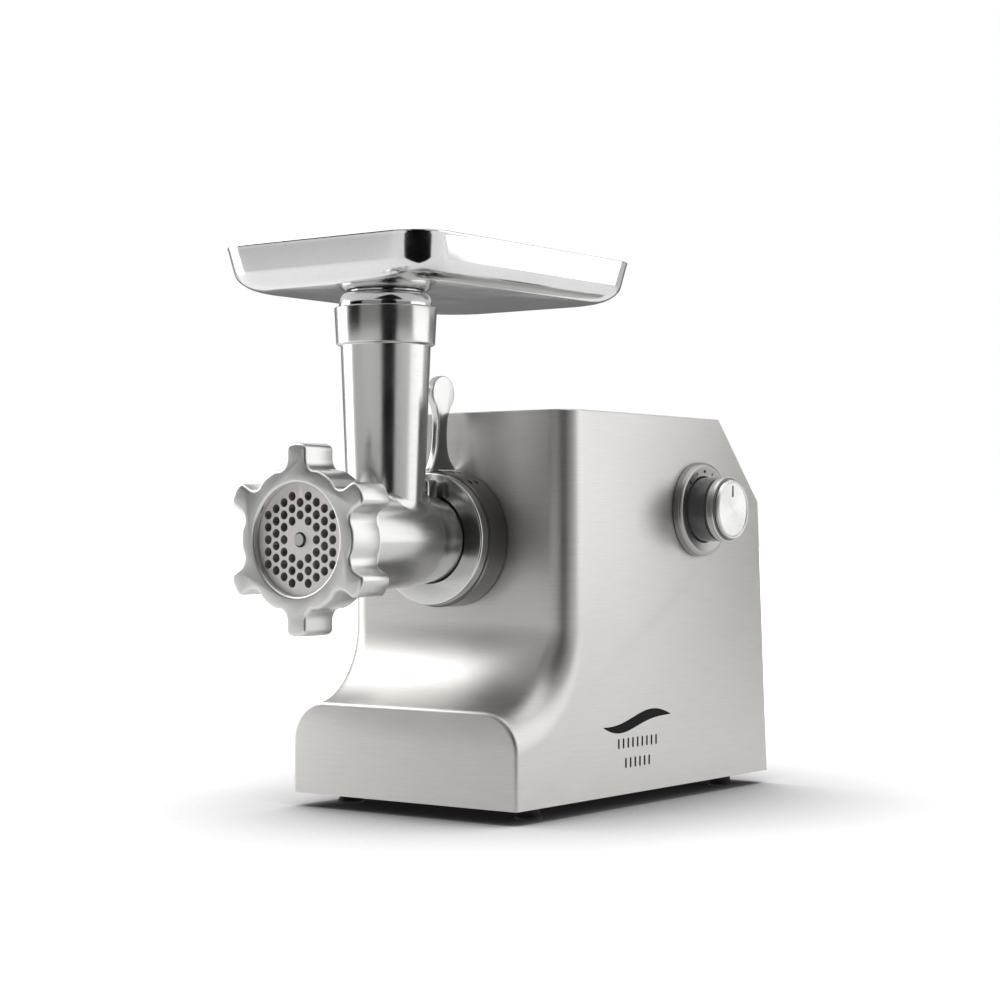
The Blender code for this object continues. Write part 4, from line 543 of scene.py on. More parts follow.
@dataclass(frozen=True)
class BrushedSheet:
    """Satin stainless sheet, belt brushed along its length, which draws fine level lines."""

    name: str
    colour: str = "#CECDCA"
    shade: str = "#C4C3C0"
    roughness: float = 0.41
    across_mm: float = 0.32    # real grain is finer, and is drawn so that it still shows
    along_mm: float = 22.0
    top_height: float = 0.14   # above this, upward faces are brushed along Y

    def build(self) -> bpy.types.Material:
        """Make the material."""
        material, tree, shader = new_material(self.name)
        place = add_node(tree, "ShaderNodeTexCoord").outputs["Object"]
        fine, long = 1 / (self.across_mm * MM), 1 / (self.along_mm * MM)
        sides = noise(tree, place, (long, long, fine), 2.0, 0.6)
        top = noise(tree, place, (fine, long, long), 2.0, 0.6)
        normal = add_node(tree, "ShaderNodeNewGeometry").outputs["Normal"]
        up = add_node(tree, "ShaderNodeSeparateXYZ", {0: normal}).outputs[2]
        height = add_node(tree, "ShaderNodeSeparateXYZ", {0: place}).outputs[2]
        level = math_node(tree, "GREATER_THAN", up, 0.45)
        high = math_node(tree, "GREATER_THAN", height, self.top_height)
        grain = mix_values(tree, math_node(tree, "MULTIPLY", level, high), sides, top)
        clouds = noise(tree, place, (28, 28, 28), 3.0)
        colour = blend_colours(tree, spread(tree, grain, 0.0, 1.0), self.shade, self.colour)
        rough = math_node(tree, "ADD", spread(tree, grain, -0.02, 0.03),
                          spread(tree, clouds, self.roughness - 0.015, self.roughness + 0.02))
        wire_surface(tree, shader, colour, rough, grain, 0.24, 0.00002)
        shader.inputs["Metallic"].default_value = 1.0
        return material


@dataclass(frozen=True)
class BareMetal:
    """Metal with a skin of its own, from polished aluminium to a sand-cast face.

    A low roughness with faint scratches reads as polish, and a coarse bump as a casting.
    """

    name: str
    colour: str = "#DADADA"
    shade: str = "#CFCFCF"
    roughness: float = 0.14
    spread: float = 0.04
    grit_mm: float = 1.2
    bump: float = 0.1
    scratch: float = 0.04

    def build(self) -> bpy.types.Material:
        """Make the material."""
        material, tree, shader = new_material(self.name)
        place = add_node(tree, "ShaderNodeTexCoord").outputs["Object"]
        cells = 1 / (self.grit_mm * MM)
        grit = noise(tree, place, (cells, cells, cells), 4.0, 0.6)
        clouds = noise(tree, place, (35, 35, 35), 3.0)
        scratches = noise(tree, place, (cells * 1.5, cells * 0.04, cells * 1.1), 2.0, 0.7)
        tone = mix_values(tree, 0.5, clouds, grit)
        colour = blend_colours(tree, spread(tree, tone, 0.0, 1.0), self.shade, self.colour)
        rough = math_node(tree, "ADD", spread(tree, clouds, self.roughness - self.spread / 2,
                                              self.roughness + self.spread),
                          spread(tree, scratches, 0.0, self.scratch, (0.45, 0.75)))
        wire_surface(tree, shader, colour, rough, grit, self.bump, 0.00006)
        shader.inputs["Metallic"].default_value = 1.0
        return material


@dataclass(frozen=True)
class TurnedMetal:
    """Metal finished on a lathe, whose tool leaves fine rings round the axis."""

    name: str
    centre: Point3             # a point on the axis, in millimetres from the datum
    axis: Axis = Axis.Y
    colour: str = "#D0D0D0"
    shade: str = "#BDBDBD"
    roughness: float = 0.2
    ring_mm: float = 0.5       # the tool's real marks are finer
    bump: float = 0.25
    stretch: float = 0.0       # 0 to 1, how far the rings draw the highlights out

    def build(self) -> bpy.types.Material:
        """Make the material."""
        material, tree, shader = new_material(self.name)
        place = add_node(tree, "ShaderNodeTexCoord").outputs["Object"]
        middle = world(*self.centre)
        moved = add_node(tree, "ShaderNodeMapping", {"Vector": place, "Location": -middle})
        parts = add_node(tree, "ShaderNodeSeparateXYZ", {0: moved.outputs[0]}).outputs
        order = {Axis.X: (1, 2, 0), Axis.Y: (0, 2, 1), Axis.Z: (0, 1, 2)}[self.axis]
        squares = [math_node(tree, "MULTIPLY", parts[i], parts[i]) for i in order[:2]]
        radius = math_node(tree, "SQRT", math_node(tree, "ADD", *squares))
        rings = add_node(tree, "ShaderNodeCombineXYZ", {0: radius, 1: parts[order[2]]})
        cells = 1 / (self.ring_mm * MM)
        lines = noise(tree, rings.outputs[0], (cells, cells, 1), 3.0, 0.7)
        clouds = noise(tree, place, (40, 40, 40), 3.0)
        colour = blend_colours(tree, spread(tree, lines, 0.0, 1.0), self.shade, self.colour)
        rough = math_node(tree, "ADD", spread(tree, clouds, self.roughness - 0.02,
                                              self.roughness + 0.02),
                          spread(tree, lines, -0.03, 0.05))
        wire_surface(tree, shader, colour, rough, lines, self.bump, 0.00004)
        shader.inputs["Metallic"].default_value = 1.0
        if self.stretch:
            shader.inputs["Anisotropic"].default_value = self.stretch
            tangent = add_node(tree, "ShaderNodeTangent", direction_type="RADIAL",
                               axis=self.axis.name)
            tree.links.new(tangent.outputs[0], shader.inputs["Tangent"])
        return material


@dataclass(frozen=True)
class Moulded:
    """Moulded plastic or rubber, with the fine texture of its mould."""

    name: str
    colour: str
    shade: str
    roughness: float = 0.45
    grain_mm: float = 0.7
    bump: float = 0.15
    ior: float = 1.5
    coat: float = 0.0

    def build(self) -> bpy.types.Material:
        """Make the material."""
        material, tree, shader = new_material(self.name)
        place = add_node(tree, "ShaderNodeTexCoord").outputs["Object"]
        cells = 1 / (self.grain_mm * MM)
        grain = noise(tree, place, (cells, cells, cells), 3.0)
        clouds = noise(tree, place, (50, 50, 50), 3.0)
        colour = blend_colours(tree, spread(tree, clouds, 0.0, 1.0), self.shade, self.colour)
        rough = spread(tree, grain, self.roughness - 0.05, self.roughness + 0.06)
        wire_surface(tree, shader, colour, rough, grain, self.bump, 0.00008)
        shader.inputs["IOR"].default_value = self.ior
        shader.inputs["Coat Weight"].default_value = self.coat
        return material


@dataclass(frozen=True)
class PlainPaint:
    """Flat finish of the studio's floor and cards, which aren't part of the machine."""

    name: str
    colour: str
    roughness: float = 0.9
    glow: float = 0.0

    def build(self) -> bpy.types.Material:
        """Make the material."""
        material, _, shader = new_material(self.name)
        shader.inputs["Base Color"].default_value = linear(self.colour)
        shader.inputs["Roughness"].default_value = self.roughness
        shader.inputs["Specular IOR Level"].default_value = 0.0
        shader.inputs["Emission Color"].default_value = (1, 1, 1, 1)
        shader.inputs["Emission Strength"].default_value = self.glow
        return material


# ---------------------------------------------------------------- the case

@dataclass
class SteelCase:
    """Folded and polished steel case, open below, with its window for the back panel."""

    width: float = 150.6
    length: float = 251.2
    top: float = 212.7
    floor: float = 7.4
    plate_top: float = 57.2
    face_y: float = FACE_Y
    edge_radius: float = 2.4
    foot_corner: float = 21.0
    face_corner: float = 13.5
    top_rear: float = 196.0
    chamfer_y: float = 240.3
    chamfer_z: float = 166.0
    wall: float = 1.0
    fold_radius: float = 1.1
    cove_rows: int = 22
    corner_steps: int = 12
    boss_hole: float = 30.3
    window_width: float = 96.0
    window_height: float = 104.0
    window_corner: float = 6.0
    axis_height: float = AXIS_Z

    def panel_place(self) -> tuple[Vector, Matrix]:
        """Middle of the back panel on the rear wall, and the turn of that wall."""
        low, high = local_box("back_panel")
        middle = (low.z + high.z) / 2
        share = (middle - self.floor) / (self.chamfer_z - self.floor)
        rear = self.length + (self.chamfer_y - self.length) * share
        lean = math.atan2(self.length - self.chamfer_y, self.chamfer_z - self.floor)
        return world(0, rear, middle), Euler((lean, 0, 0)).to_matrix()

    def rows(self) -> list[list[Point3]]:
        """Sections over the cove and the upper face, from the left side to the right."""
        radius_y = self.face_y - self.edge_radius
        result = []
        for step in range(self.cove_rows + 2):
            turn = min(step, self.cove_rows) / self.cove_rows
            angle = turn * math.pi / 2
            y = self.edge_radius + radius_y * math.sin(angle)
            z = self.plate_top + radius_y * (1 - math.cos(angle))
            if step > self.cove_rows:
                z = self.top
            radius = self.foot_corner + (self.face_corner - self.foot_corner) * turn
            row: list[Point3] = []
            for side in (-1, 1):
                corner = []
                for i in range(self.corner_steps + 1):
                    a = math.pi / 2 * i / self.corner_steps
                    depth = radius * (1 - math.cos(a))
                    corner.append((side * (self.width / 2 - radius * (1 - math.sin(a))),
                                   y + math.sin(angle) * depth, z - math.cos(angle) * depth))
                row += corner[::-1] if side < 0 else corner
            result.append(row)
        return result

    def plate_rows(self, first: list[Point3]) -> list[list[Point3]]:
        """Rows round the edge of the front plate, from its flat to the case's full outline."""
        half = self.width / 2
        outline = [(-half, self.floor)] + [(x, z) for x, _, z in first] + [(half, self.floor)]
        result = []
        steps = 4
        for step in range(steps + 1):
            angle = math.pi / 2 * step / steps
            inset = self.edge_radius * (1 - math.sin(angle))
            y = self.edge_radius * (1 - math.cos(angle))
            row = []
            for index, (x, z) in enumerate(outline):
                before = Vector(outline[max(index - 1, 0)])
                after = Vector(outline[min(index + 1, len(outline) - 1)])
                along = (after - before).normalized()
                normal = Vector((-along.y, along.x))
                if index in (0, len(outline) - 1):
                    normal = Vector((-1 if index == 0 else 1, 0))
                row.append((x - normal.x * inset, y, z - normal.y * inset))
            result.append(row)
        return result

    def shell(self) -> bpy.types.Object:
        """Loft the front and close the sides, top and rear, then fold and thicken the sheet.

        The cove's corners shrink as it climbs, which no operator makes, so it is a loft.
        """
        rows = self.rows()
        half = self.width / 2
        mesh = bmesh.new()

        def line(points: Sequence[Point3]) -> list[bmesh.types.BMVert]:
            return [mesh.verts.new(world(*p)) for p in points]

        def bridge(first: Sequence[Any], second: Sequence[Any]) -> None:
            for a, b, c, d in zip(first, first[1:], second[1:], second):
                mesh.faces.new((a, b, c, d))

        plate = [line(points) for points in self.plate_rows(rows[0])]
        for first, second in zip(plate, plate[1:]):
            bridge(first, second)
        mesh.faces.new(plate[0][::-1])
        front = [plate[-1][1:-1]] + [line(row) for row in rows[1:]]
        for first, second in zip(front, front[1:]):
            bridge(first, second)
        profile = ((self.top_rear, self.top), (self.chamfer_y, self.chamfer_z),
                   (self.length, self.floor))
        left = line([(-half, y, z) for y, z in profile])
        right = line([(half, y, z) for y, z in profile])
        bridge(left, right)
        mesh.faces.new(front[-1] + [right[0], left[0]])
        mesh.faces.new([plate[-1][0]] + [row[0] for row in front] + left)
        mesh.faces.new([plate[-1][-1]] + [row[-1] for row in front] + right)
        bmesh.ops.recalc_face_normals(mesh, faces=mesh.faces)
        lowest = min(mesh.faces, key=lambda f: f.calc_center_median().y)
        if lowest.normal.y > 0:
            bmesh.ops.reverse_faces(mesh, faces=mesh.faces)
        data = bpy.data.meshes.new("case_shell")
        mesh.to_mesh(data)
        mesh.free()
        obj = bpy.data.objects.new("case_shell", data)
        bpy.context.scene.collection.objects.link(obj)
        soften(obj, self.fold_radius, 3, 24)
        apply_modifier(obj, "SOLIDIFY", thickness=self.wall * MM, offset=-1.0,
                       use_even_offset=True)
        return obj

    def build(self, steel: bpy.types.Material) -> bpy.types.Object:
        """Model the case and cut its openings."""
        obj = self.shell()
        hole = rod("cut_boss", self.boss_hole, world(0, self.face_y - 8, self.axis_height),
                   world(0, self.face_y + 8, self.axis_height), 64)
        combine(obj, hole, "DIFFERENCE")
        place, turn = self.panel_place()
        outline = rounded_rectangle(self.window_width, self.window_height, self.window_corner, 6)
        points = [place + turn @ Vector((x * MM, -0.006, y * MM)) for x, y in outline]
        window = slab("cut_window", points, turn @ Vector((0, 0.012, 0)))
        combine(obj, window, "DIFFERENCE")
        return finish_piece(obj, Body.MACHINE, steel, ("casing",), 24)


@dataclass
class PrintedMark:
    """Printed mark low on the case's side: a bold swash over two rows of tally bars."""

    centre_y: float = 111.0
    swash_z: float = 46.5
    width: float = 66.0
    height: float = 10.5
    bar_width: float = 1.5
    bar_pitch: float = 4.6
    bar_height: float = 5.6
    row_drop: float = 11.5
    depth: float = 0.06

    def swash(self) -> list[Point]:
        """Outline of a wave that is thick in its middle and pointed at its ends."""
        steps = 24
        shares = [2 * i / steps - 1 for i in range(steps + 1)]
        sides = []
        for sign in (1, -1):
            side = []
            for share in shares:
                thick = self.height / 3.6 * (1 - abs(share) ** 2.4) + 0.15
                wave = self.height / 3.2 * math.sin(2.6 * share) * (1 - 0.25 * share)
                side.append((self.centre_y + self.width / 2 * share,
                             self.swash_z + wave + sign * thick))
            sides.append(side)
        return sides[1] + sides[0][::-1]

    def build(self, ink: bpy.types.Material) -> bpy.types.Object:
        """Lay the mark on the side of the case."""
        side = local_box("casing")[1].x - 0.02
        pieces = [self.patch("mark_swash", self.swash(), side)]
        for row, count in ((1, 9), (2, 6)):
            for index in range(count):
                y = self.centre_y + (index - (count - 1) / 2) * self.bar_pitch
                bar = rounded_rectangle(self.bar_width, self.bar_height, self.bar_width / 2.02, 4,
                                        (y, self.swash_z - 1.0 - self.row_drop * row * 0.93))
                pieces.append(self.patch("mark_bar", bar, side))
        obj = join_pieces(pieces)
        obj.name = "side_mark"
        return finish_piece(obj, Body.MACHINE, ink)

    def patch(self, name: str, outline: Sequence[Point], side: float) -> bpy.types.Object:
        """One patch of ink with a hair's thickness."""
        points = [world(side, y, z) for y, z in outline]
        return slab(name, points, Vector((self.depth * MM, 0, 0)))


# ---------------------------------------------------------------- the grinding head

@dataclass
class GrindingHead:
    """Cast and polished head: barrel, feed tube with its collar, rib and drive spigot."""

    axis_z: float = AXIS_Z
    feed_y: float = FEED_Y
    barrel_front: float = -76.6
    shoulder_y: float = -57.0
    thread_radius: float = 33.0
    barrel_radius: float = 26.2
    spigot_radius: float = 23.0
    spigot_start: float = 20.0
    spigot_end: float = 44.0
    bore: float = 22.3
    chamber: float = 28.4
    chamber_end: float = -65.4
    plate_recess: float = 31.3
    plate_back: float = -73.0
    bore_end: float = 11.0
    wall_end: float = 18.5
    bush_seat: float = 10.7
    spigot_bore: float = 19.5
    feed_base: float = 20.4
    feed_top: float = 23.3
    feed_bore: float = 18.6
    collar_bottom: float = 245.0
    collar_top: float = 264.5
    collar_radius: float = 25.6
    collar_flare: float = 1.0
    collar_bore: float = 22.4
    collar_seat: float = 249.5
    rib_thickness: float = 5.0
    rib_reach: float = 6.5
    rib_top: float = 212.0
    fillet: float = 3.2
    saddle_depth: float = 2.0    # how far the fillet's hidden side sinks into the barrel

    def barrel(self) -> bpy.types.Object:
        """Barrel with its threaded mouth, round shoulder, waist and spigot."""
        mouth = self.shoulder_y
        outer: list[Point] = [(0, self.spigot_end), (self.spigot_radius - 0.8, self.spigot_end),
                              (self.spigot_radius, self.spigot_end - 0.8),
                              (self.spigot_radius, self.spigot_start)]
        outer += [(self.spigot_radius + 0.9, 15.0), (self.barrel_radius - 0.9, 4.0),
                  (self.barrel_radius - 0.2, -20.0), (self.barrel_radius, mouth + 9.0)]
        outer += arc((self.thread_radius - 5.5, mouth - 1.0), 5.5, 75, 0, 10)
        pitch = 2.0
        y = mouth - 3.0
        while y > self.barrel_front + 3.0:
            outer += [(self.thread_radius, y), (self.thread_radius - 0.9, y - 0.6),
                      (self.thread_radius - 0.9, y - 1.0), (self.thread_radius, y - 1.6)]
            y -= pitch
        outer += [(self.thread_radius - 0.6, self.barrel_front + 0.3),
                  (self.thread_radius - 1.0, self.barrel_front), (0, self.barrel_front)]
        return lathe("head_barrel", outer, world(0, 0, self.axis_z), Axis.Y, 112)

    def feed_radius(self, z: float) -> float:
        """Outer radius of the feed tube at a height."""
        foot = self.axis_z + self.barrel_radius
        share = (z - foot) / (self.collar_bottom - foot)
        return self.feed_base + (self.feed_top - self.feed_base) * share

    def tube(self) -> bpy.types.Object:
        """Tapered feed tube under its collar."""
        top, flare = self.collar_top, self.collar_radius + self.collar_flare
        low = self.axis_z + 8.0
        profile: list[Point] = [(0, top), (flare - 0.8, top)]
        profile += arc((flare - 0.8, top - 0.8), 0.8, 90, 0, 4)
        profile += arc((self.collar_radius - 0.9, self.collar_bottom + 0.9), 0.9, 0, -90, 4)
        profile += arc((self.feed_top + 0.7, self.collar_bottom - 0.7), 0.7, 90, 180, 4)
        profile += [(self.feed_radius(low), low), (0, low)]
        return lathe("head_tube", profile, world(0, self.feed_y, 0), Axis.Z, 96)

    def saddle(self) -> bpy.types.Object:
        """Fillet where the tube runs into the barrel."""
        steps, rows = 96, 6
        radius = self.barrel_radius - 0.35
        rings: list[list[Vector]] = [[] for _ in range(rows + 1)]
        for step in range(steps):
            angle = 2 * math.pi * step / steps
            cos, sin = math.cos(angle), math.sin(angle)

            def on_barrel(reach: float) -> Vector:
                x = reach * cos
                return Vector((x, self.feed_y + reach * sin,
                               self.axis_z + math.sqrt(max(radius ** 2 - x ** 2, 1.0))))

            corner = on_barrel(self.feed_base)
            lower = on_barrel(self.feed_base + self.fillet)
            height = corner.z + self.fillet
            reach = self.feed_radius(height)
            upper = Vector((reach * cos, self.feed_y + reach * sin, height))
            for row in range(rows + 1):
                t = row / rows
                point = upper * (1 - t) ** 2 + corner * (2 * t * (1 - t)) + lower * t ** 2
                rings[row].append(world(*point))
        sunk = Vector((0, 0, -self.saddle_depth * MM))
        core = [[Vector((0.9 * (p.x - DATUM.x) + DATUM.x, p.y, p.z)) + sunk for p in rings[-1]],
                [p + sunk for p in rings[0]]]
        return loft("head_saddle", rings + core, False)

    def build(self, metal: bpy.types.Material) -> bpy.types.Object:
        """Join the castings' shapes and bore them out."""
        obj = combine(self.barrel(), self.tube(), "UNION")
        rear = self.feed_y + self.feed_base + self.rib_reach
        half = self.rib_thickness / 2
        rib = block("head_rib", world(-half, self.feed_y + 10, self.axis_z + 12),
                    world(half, rear, self.rib_top))
        soften(rib, 1.2, 3)
        pad = block("head_pad", world(-8, 12.5, self.axis_z + 10), world(8, 21.5, 176.0))
        soften(pad, 1.6, 3)
        combine(combine(obj, rib, "UNION"), pad, "UNION")
        centre = world(0, 0, self.axis_z)
        bore = lathe("cut_bore", [
            (0, self.bore_end), (self.bore, self.bore_end), (self.bore, self.chamber_end),
            (self.chamber, self.chamber_end - 1.5), (self.chamber, self.plate_back),
            (self.plate_recess, self.plate_back), (self.plate_recess, -79.0), (0, -79.0)],
            centre, Axis.Y, 96)
        rear_bore = rod("cut_rear", self.spigot_bore, world(0, self.wall_end, self.axis_z),
                        world(0, 50, self.axis_z), 64)
        seat = rod("cut_seat", self.bush_seat, world(0, self.bore_end - 3, self.axis_z),
                   world(0, self.wall_end + 3, self.axis_z), 48)
        feed = lathe("cut_feed", [
            (0, 270), (self.collar_bore + 0.8, 270), (self.collar_bore + 0.8, 264.5),
            (self.collar_bore, 263.7), (self.collar_bore, self.collar_seat),
            (self.feed_bore, self.collar_seat - 1.5), (self.feed_bore - 1.0, self.axis_z),
            (0, self.axis_z)], world(0, self.feed_y, 0), Axis.Z, 80)
        for cutter in (bore, rear_bore, seat, feed):
            combine(obj, cutter, "DIFFERENCE")
        obj = join_pieces([obj, self.saddle()])
        obj.name = "head_casting"
        return finish_piece(obj, Body.HEAD, metal, ("grinder_head",), 28)


@dataclass
class RingNut:
    """Cast ring nut with six lugs and rounded edges. The real nut's face is satin and its flanks
    are polished; here one satin finish covers both.
    """

    face_y: float = NUT_FACE_Y
    depth: float = 21.5
    opening: float = 28.0
    ring_radius: float = 37.0
    lug_radius: float = 48.0
    lug_width: float = 12.6
    lugs: int = 6
    hollow: float = 6.0
    skirt_radius: float = 35.6
    skirt: float = 2.5
    thread: float = 33.4
    plate_face: float = -78.6
    axis_z: float = AXIS_Z

    def outline(self) -> list[Point]:
        """Ring with lugs that run into it with hollow sides, anticlockwise."""
        points: list[Point] = []
        side, base = self.lug_width / 2, self.ring_radius - 1.0
        centre = (side + self.hollow,
                  math.sqrt((base + self.hollow) ** 2 - (side + self.hollow) ** 2))
        start = math.degrees(math.atan2(-centre[1], -centre[0]))
        flank = arc(centre, self.hollow, start, -180, 8)
        flank += arc((side - 3.4, self.lug_radius - 3.8), 3.4, 0, 76, 6)
        crown = [(side - 4.2 - 0.9 * i, self.lug_radius - 0.12 + 0.04 * i) for i in range(3)]
        half = flank + crown
        whole = half + [(-x, y) for x, y in half[::-1]]
        for lug in range(self.lugs):
            middle = math.radians(90 + 360 / self.lugs * lug)
            for x, y in whole:
                points.append((x * math.sin(middle) + y * math.cos(middle),
                               -x * math.cos(middle) + y * math.sin(middle)))
            gap = middle + math.pi / self.lugs
            for offset in (-0.14, -0.09, -0.045, 0, 0.045, 0.09, 0.14):
                radius = self.ring_radius - 0.15 * (offset / 0.14) ** 2
                points.append((radius * math.cos(gap + offset), radius * math.sin(gap + offset)))
        return points

    def build(self, metal: bpy.types.Material) -> bpy.types.Object:
        """Loft the lugged ring over its rounded edges, add the skirt and bore it."""
        outline = self.outline()
        rear = self.face_y + self.depth
        levels = [(1.9, self.face_y), (1.2, self.face_y + 0.1), (0.6, self.face_y + 0.4),
                  (0.2, self.face_y + 0.9), (0.0, self.face_y + 1.6), (0.0, rear - 1.2),
                  (0.3, rear - 0.4), (1.0, rear)]
        rings = []
        for inset, y in levels:
            rings.append([world(x, y, self.axis_z + z)
                          for x, z in offset_outline(outline, inset)])
        nut = loft("ring_nut_casting", rings, True)
        centre = world(0, 0, self.axis_z)
        skirt = lathe("nut_skirt", [
            (0, rear + self.skirt), (self.skirt_radius - 0.6, rear + self.skirt),
            (self.skirt_radius, rear + self.skirt - 0.6), (self.skirt_radius, rear - 5),
            (0, rear - 5)], centre, Axis.Y)
        combine(nut, skirt, "UNION")
        bore: list[Point] = [(0, rear + 9), (self.thread + 1.0, rear + 9),
                             (self.thread + 1.0, rear + self.skirt),
                             (self.thread, rear + self.skirt - 1.0), (self.thread, -77.6),
                             (self.thread, self.plate_face), (self.opening, self.plate_face)]
        bore += arc((self.opening + 1.6, self.face_y + 1.6), 1.6, 180, 270, 5)
        bore += [(self.opening + 1.6, self.face_y - 3), (0, self.face_y - 3)]
        combine(nut, lathe("cut_nut", bore, centre, Axis.Y), "DIFFERENCE")
        return finish_piece(nut, Body.NUT, metal, ("ring_nut",), 30)


@dataclass
class GrindingPlate:
    """Ground steel plate with its grid of drilled holes."""

    diameter: float = 62.0
    face_y: float = -78.3
    thickness: float = 5.0
    hole: float = 4.6
    pitch: float = 6.15
    centre_bore: float = 3.9
    opening: float = 28.0
    axis_z: float = AXIS_Z

    def holes(self) -> list[Point]:
        """Middles of the holes on a triangular grid."""
        column = self.pitch * math.sqrt(3) / 2
        reach = int(self.diameter / 2 / column) + 1
        found = []
        for i in range(-reach, reach + 1):
            for j in range(-reach, reach + 1):
                x, y = i * column, (j + (0.5 if i % 2 else 0.0)) * self.pitch
                radius = math.hypot(x, y)
                if (radius > 1.3 * self.pitch and abs(y) < 3.6 * self.pitch
                        and radius < self.opening - self.hole / 2 - 0.6):
                    found.append((x, y))
        return found

    def build(self, metal: bpy.types.Material) -> bpy.types.Object:
        """Turn the blank, drill it and break its edges."""
        back = self.face_y + self.thickness
        edge = self.diameter / 2
        blank = lathe("plate_blank", [
            (0, back), (edge - 0.4, back), (edge, back - 0.4), (edge, self.face_y + 0.4),
            (edge - 0.4, self.face_y), (0, self.face_y)], world(0, 0, self.axis_z), Axis.Y, 96)
        drills = []
        for x, z in self.holes():
            drills.append(rod("drill", self.hole / 2, world(x, self.face_y - 3, self.axis_z + z),
                              world(x, back + 3, self.axis_z + z), 24))
        drills.append(rod("drill_middle", self.centre_bore,
                          world(0, self.face_y - 3, self.axis_z),
                          world(0, back + 3, self.axis_z), 32))
        combine(blank, join_pieces(drills), "DIFFERENCE")
        soften(blank, 0.18, 1, 60)
        blank.name = "drilled_plate"
        return finish_piece(blank, Body.PLATE, metal, ("grinding_plate",), 30)


# ---------------------------------------------------------------- tray

@dataclass
class FeedTray:
    """Deep-drawn polished tray and the spun neck under it."""

    width: float = 140.3
    length: float = 193.3
    front_y: float = -69.4
    top: float = 295.2
    bottom: float = 272.7
    lean: float = 2.0
    corner: float = 20.0
    edge: float = 11.0
    wall: float = 1.2
    throat: float = 19.4
    feed_y: float = FEED_Y
    collar_top: float = 264.5
    collar_bore: float = 22.4
    shoulder: float = 24.3
    neck_depth: float = 13.0
    bow: float = 0.5
    steps: int = 12

    def ring(self, inset: float, z: float) -> list[Vector]:
        """Level section of the tray, inset from its rim."""
        outline = rounded_rectangle(
            self.width - 2 * inset - 2 * self.bow, self.length - 2 * inset - 2 * self.bow,
            self.corner + inset * 0.6, self.steps, (0, self.front_y + self.length / 2), 8,
            self.bow)
        return [world(x, y, z) for x, y in outline]

    def throat_ring(self, radius: float, z: float, count: int) -> list[Vector]:
        """Round section at the throat, in step with the tray's outline."""
        points = []
        for index in range(count):
            angle = math.radians(45) + 2 * math.pi * (index - self.steps / 2) / count
            points.append(world(radius * math.cos(angle), self.feed_y + radius * math.sin(angle),
                                z))
        return points

    def build_tray(self, metal: bpy.types.Material) -> bpy.types.Object:
        """Loft the tray over both its faces, round the rim and back to the throat."""
        rings: list[list[Vector]] = []
        count = len(self.ring(0, 0))
        for radius, z in ((self.throat, self.bottom), (self.throat + 3, self.bottom)):
            rings.append(self.throat_ring(radius, z, count))
        outer = []
        for step in range(9):
            angle = math.radians(80) * step / 8
            outer.append((self.lean + self.edge * (1 - math.sin(angle)),
                          self.bottom + self.edge * (1 - math.cos(angle))))
        outer += [(0.4, self.top - 2.4), (0.22, self.top - 1.5), (0.05, self.top - 0.9),
                  (0.0, self.top - 0.4), (0.25, self.top)]
        rings += [self.ring(inset, z) for inset, z in outer]
        inner = [(inset + self.wall, z + self.wall * 0.35) for inset, z in outer[:-4]][::-1]
        inner = [(1.1, self.top), (1.5, self.top - 0.5)] + inner
        for inset, z in inner:
            rings.append(self.ring(inset, max(z, self.bottom + self.wall)))
        for radius in (self.throat + 3, self.throat):
            rings.append(self.throat_ring(radius, self.bottom + self.wall, count))
        tray = loft("drawn_tray", rings, False)
        return finish_piece(tray, Body.TRAY, metal, ("tray",), 60)

    def build_neck(self, metal: bpy.types.Material) -> bpy.types.Object:
        """Spin the neck with its round shoulder and the spigot inside the collar."""
        spigot = self.collar_bore - 0.3
        inner = spigot - 1.8
        seat = self.collar_top + 0.3
        lip = self.throat - 0.3
        under = self.bottom - 0.3
        dome = arc((0, 0), 1.0, 80, 0, 12)
        profile: list[Point] = [(lip - 1.4, self.bottom + 1.1), (lip - 0.5, self.bottom + 1.6),
                                (lip, self.bottom + 1.2), (lip, under)]
        profile += [(self.shoulder - 5.2 + 5.2 * x, seat + 0.8 + (under - seat - 0.8) * z)
                    for x, z in dome]
        profile += [(self.shoulder, seat), (spigot, seat), (spigot, self.collar_top -
                                                            self.neck_depth),
                    (inner, self.collar_top - self.neck_depth), (inner, seat + 3.5),
                    (lip - 1.8, seat + 6.5)]
        neck = lathe("spun_neck", profile, world(0, self.feed_y, 0), Axis.Z, 96)
        return finish_piece(neck, Body.TRAY, metal, ("tray_neck",), 35)


# ---------------------------------------------------------------- boss, lock ring and lever

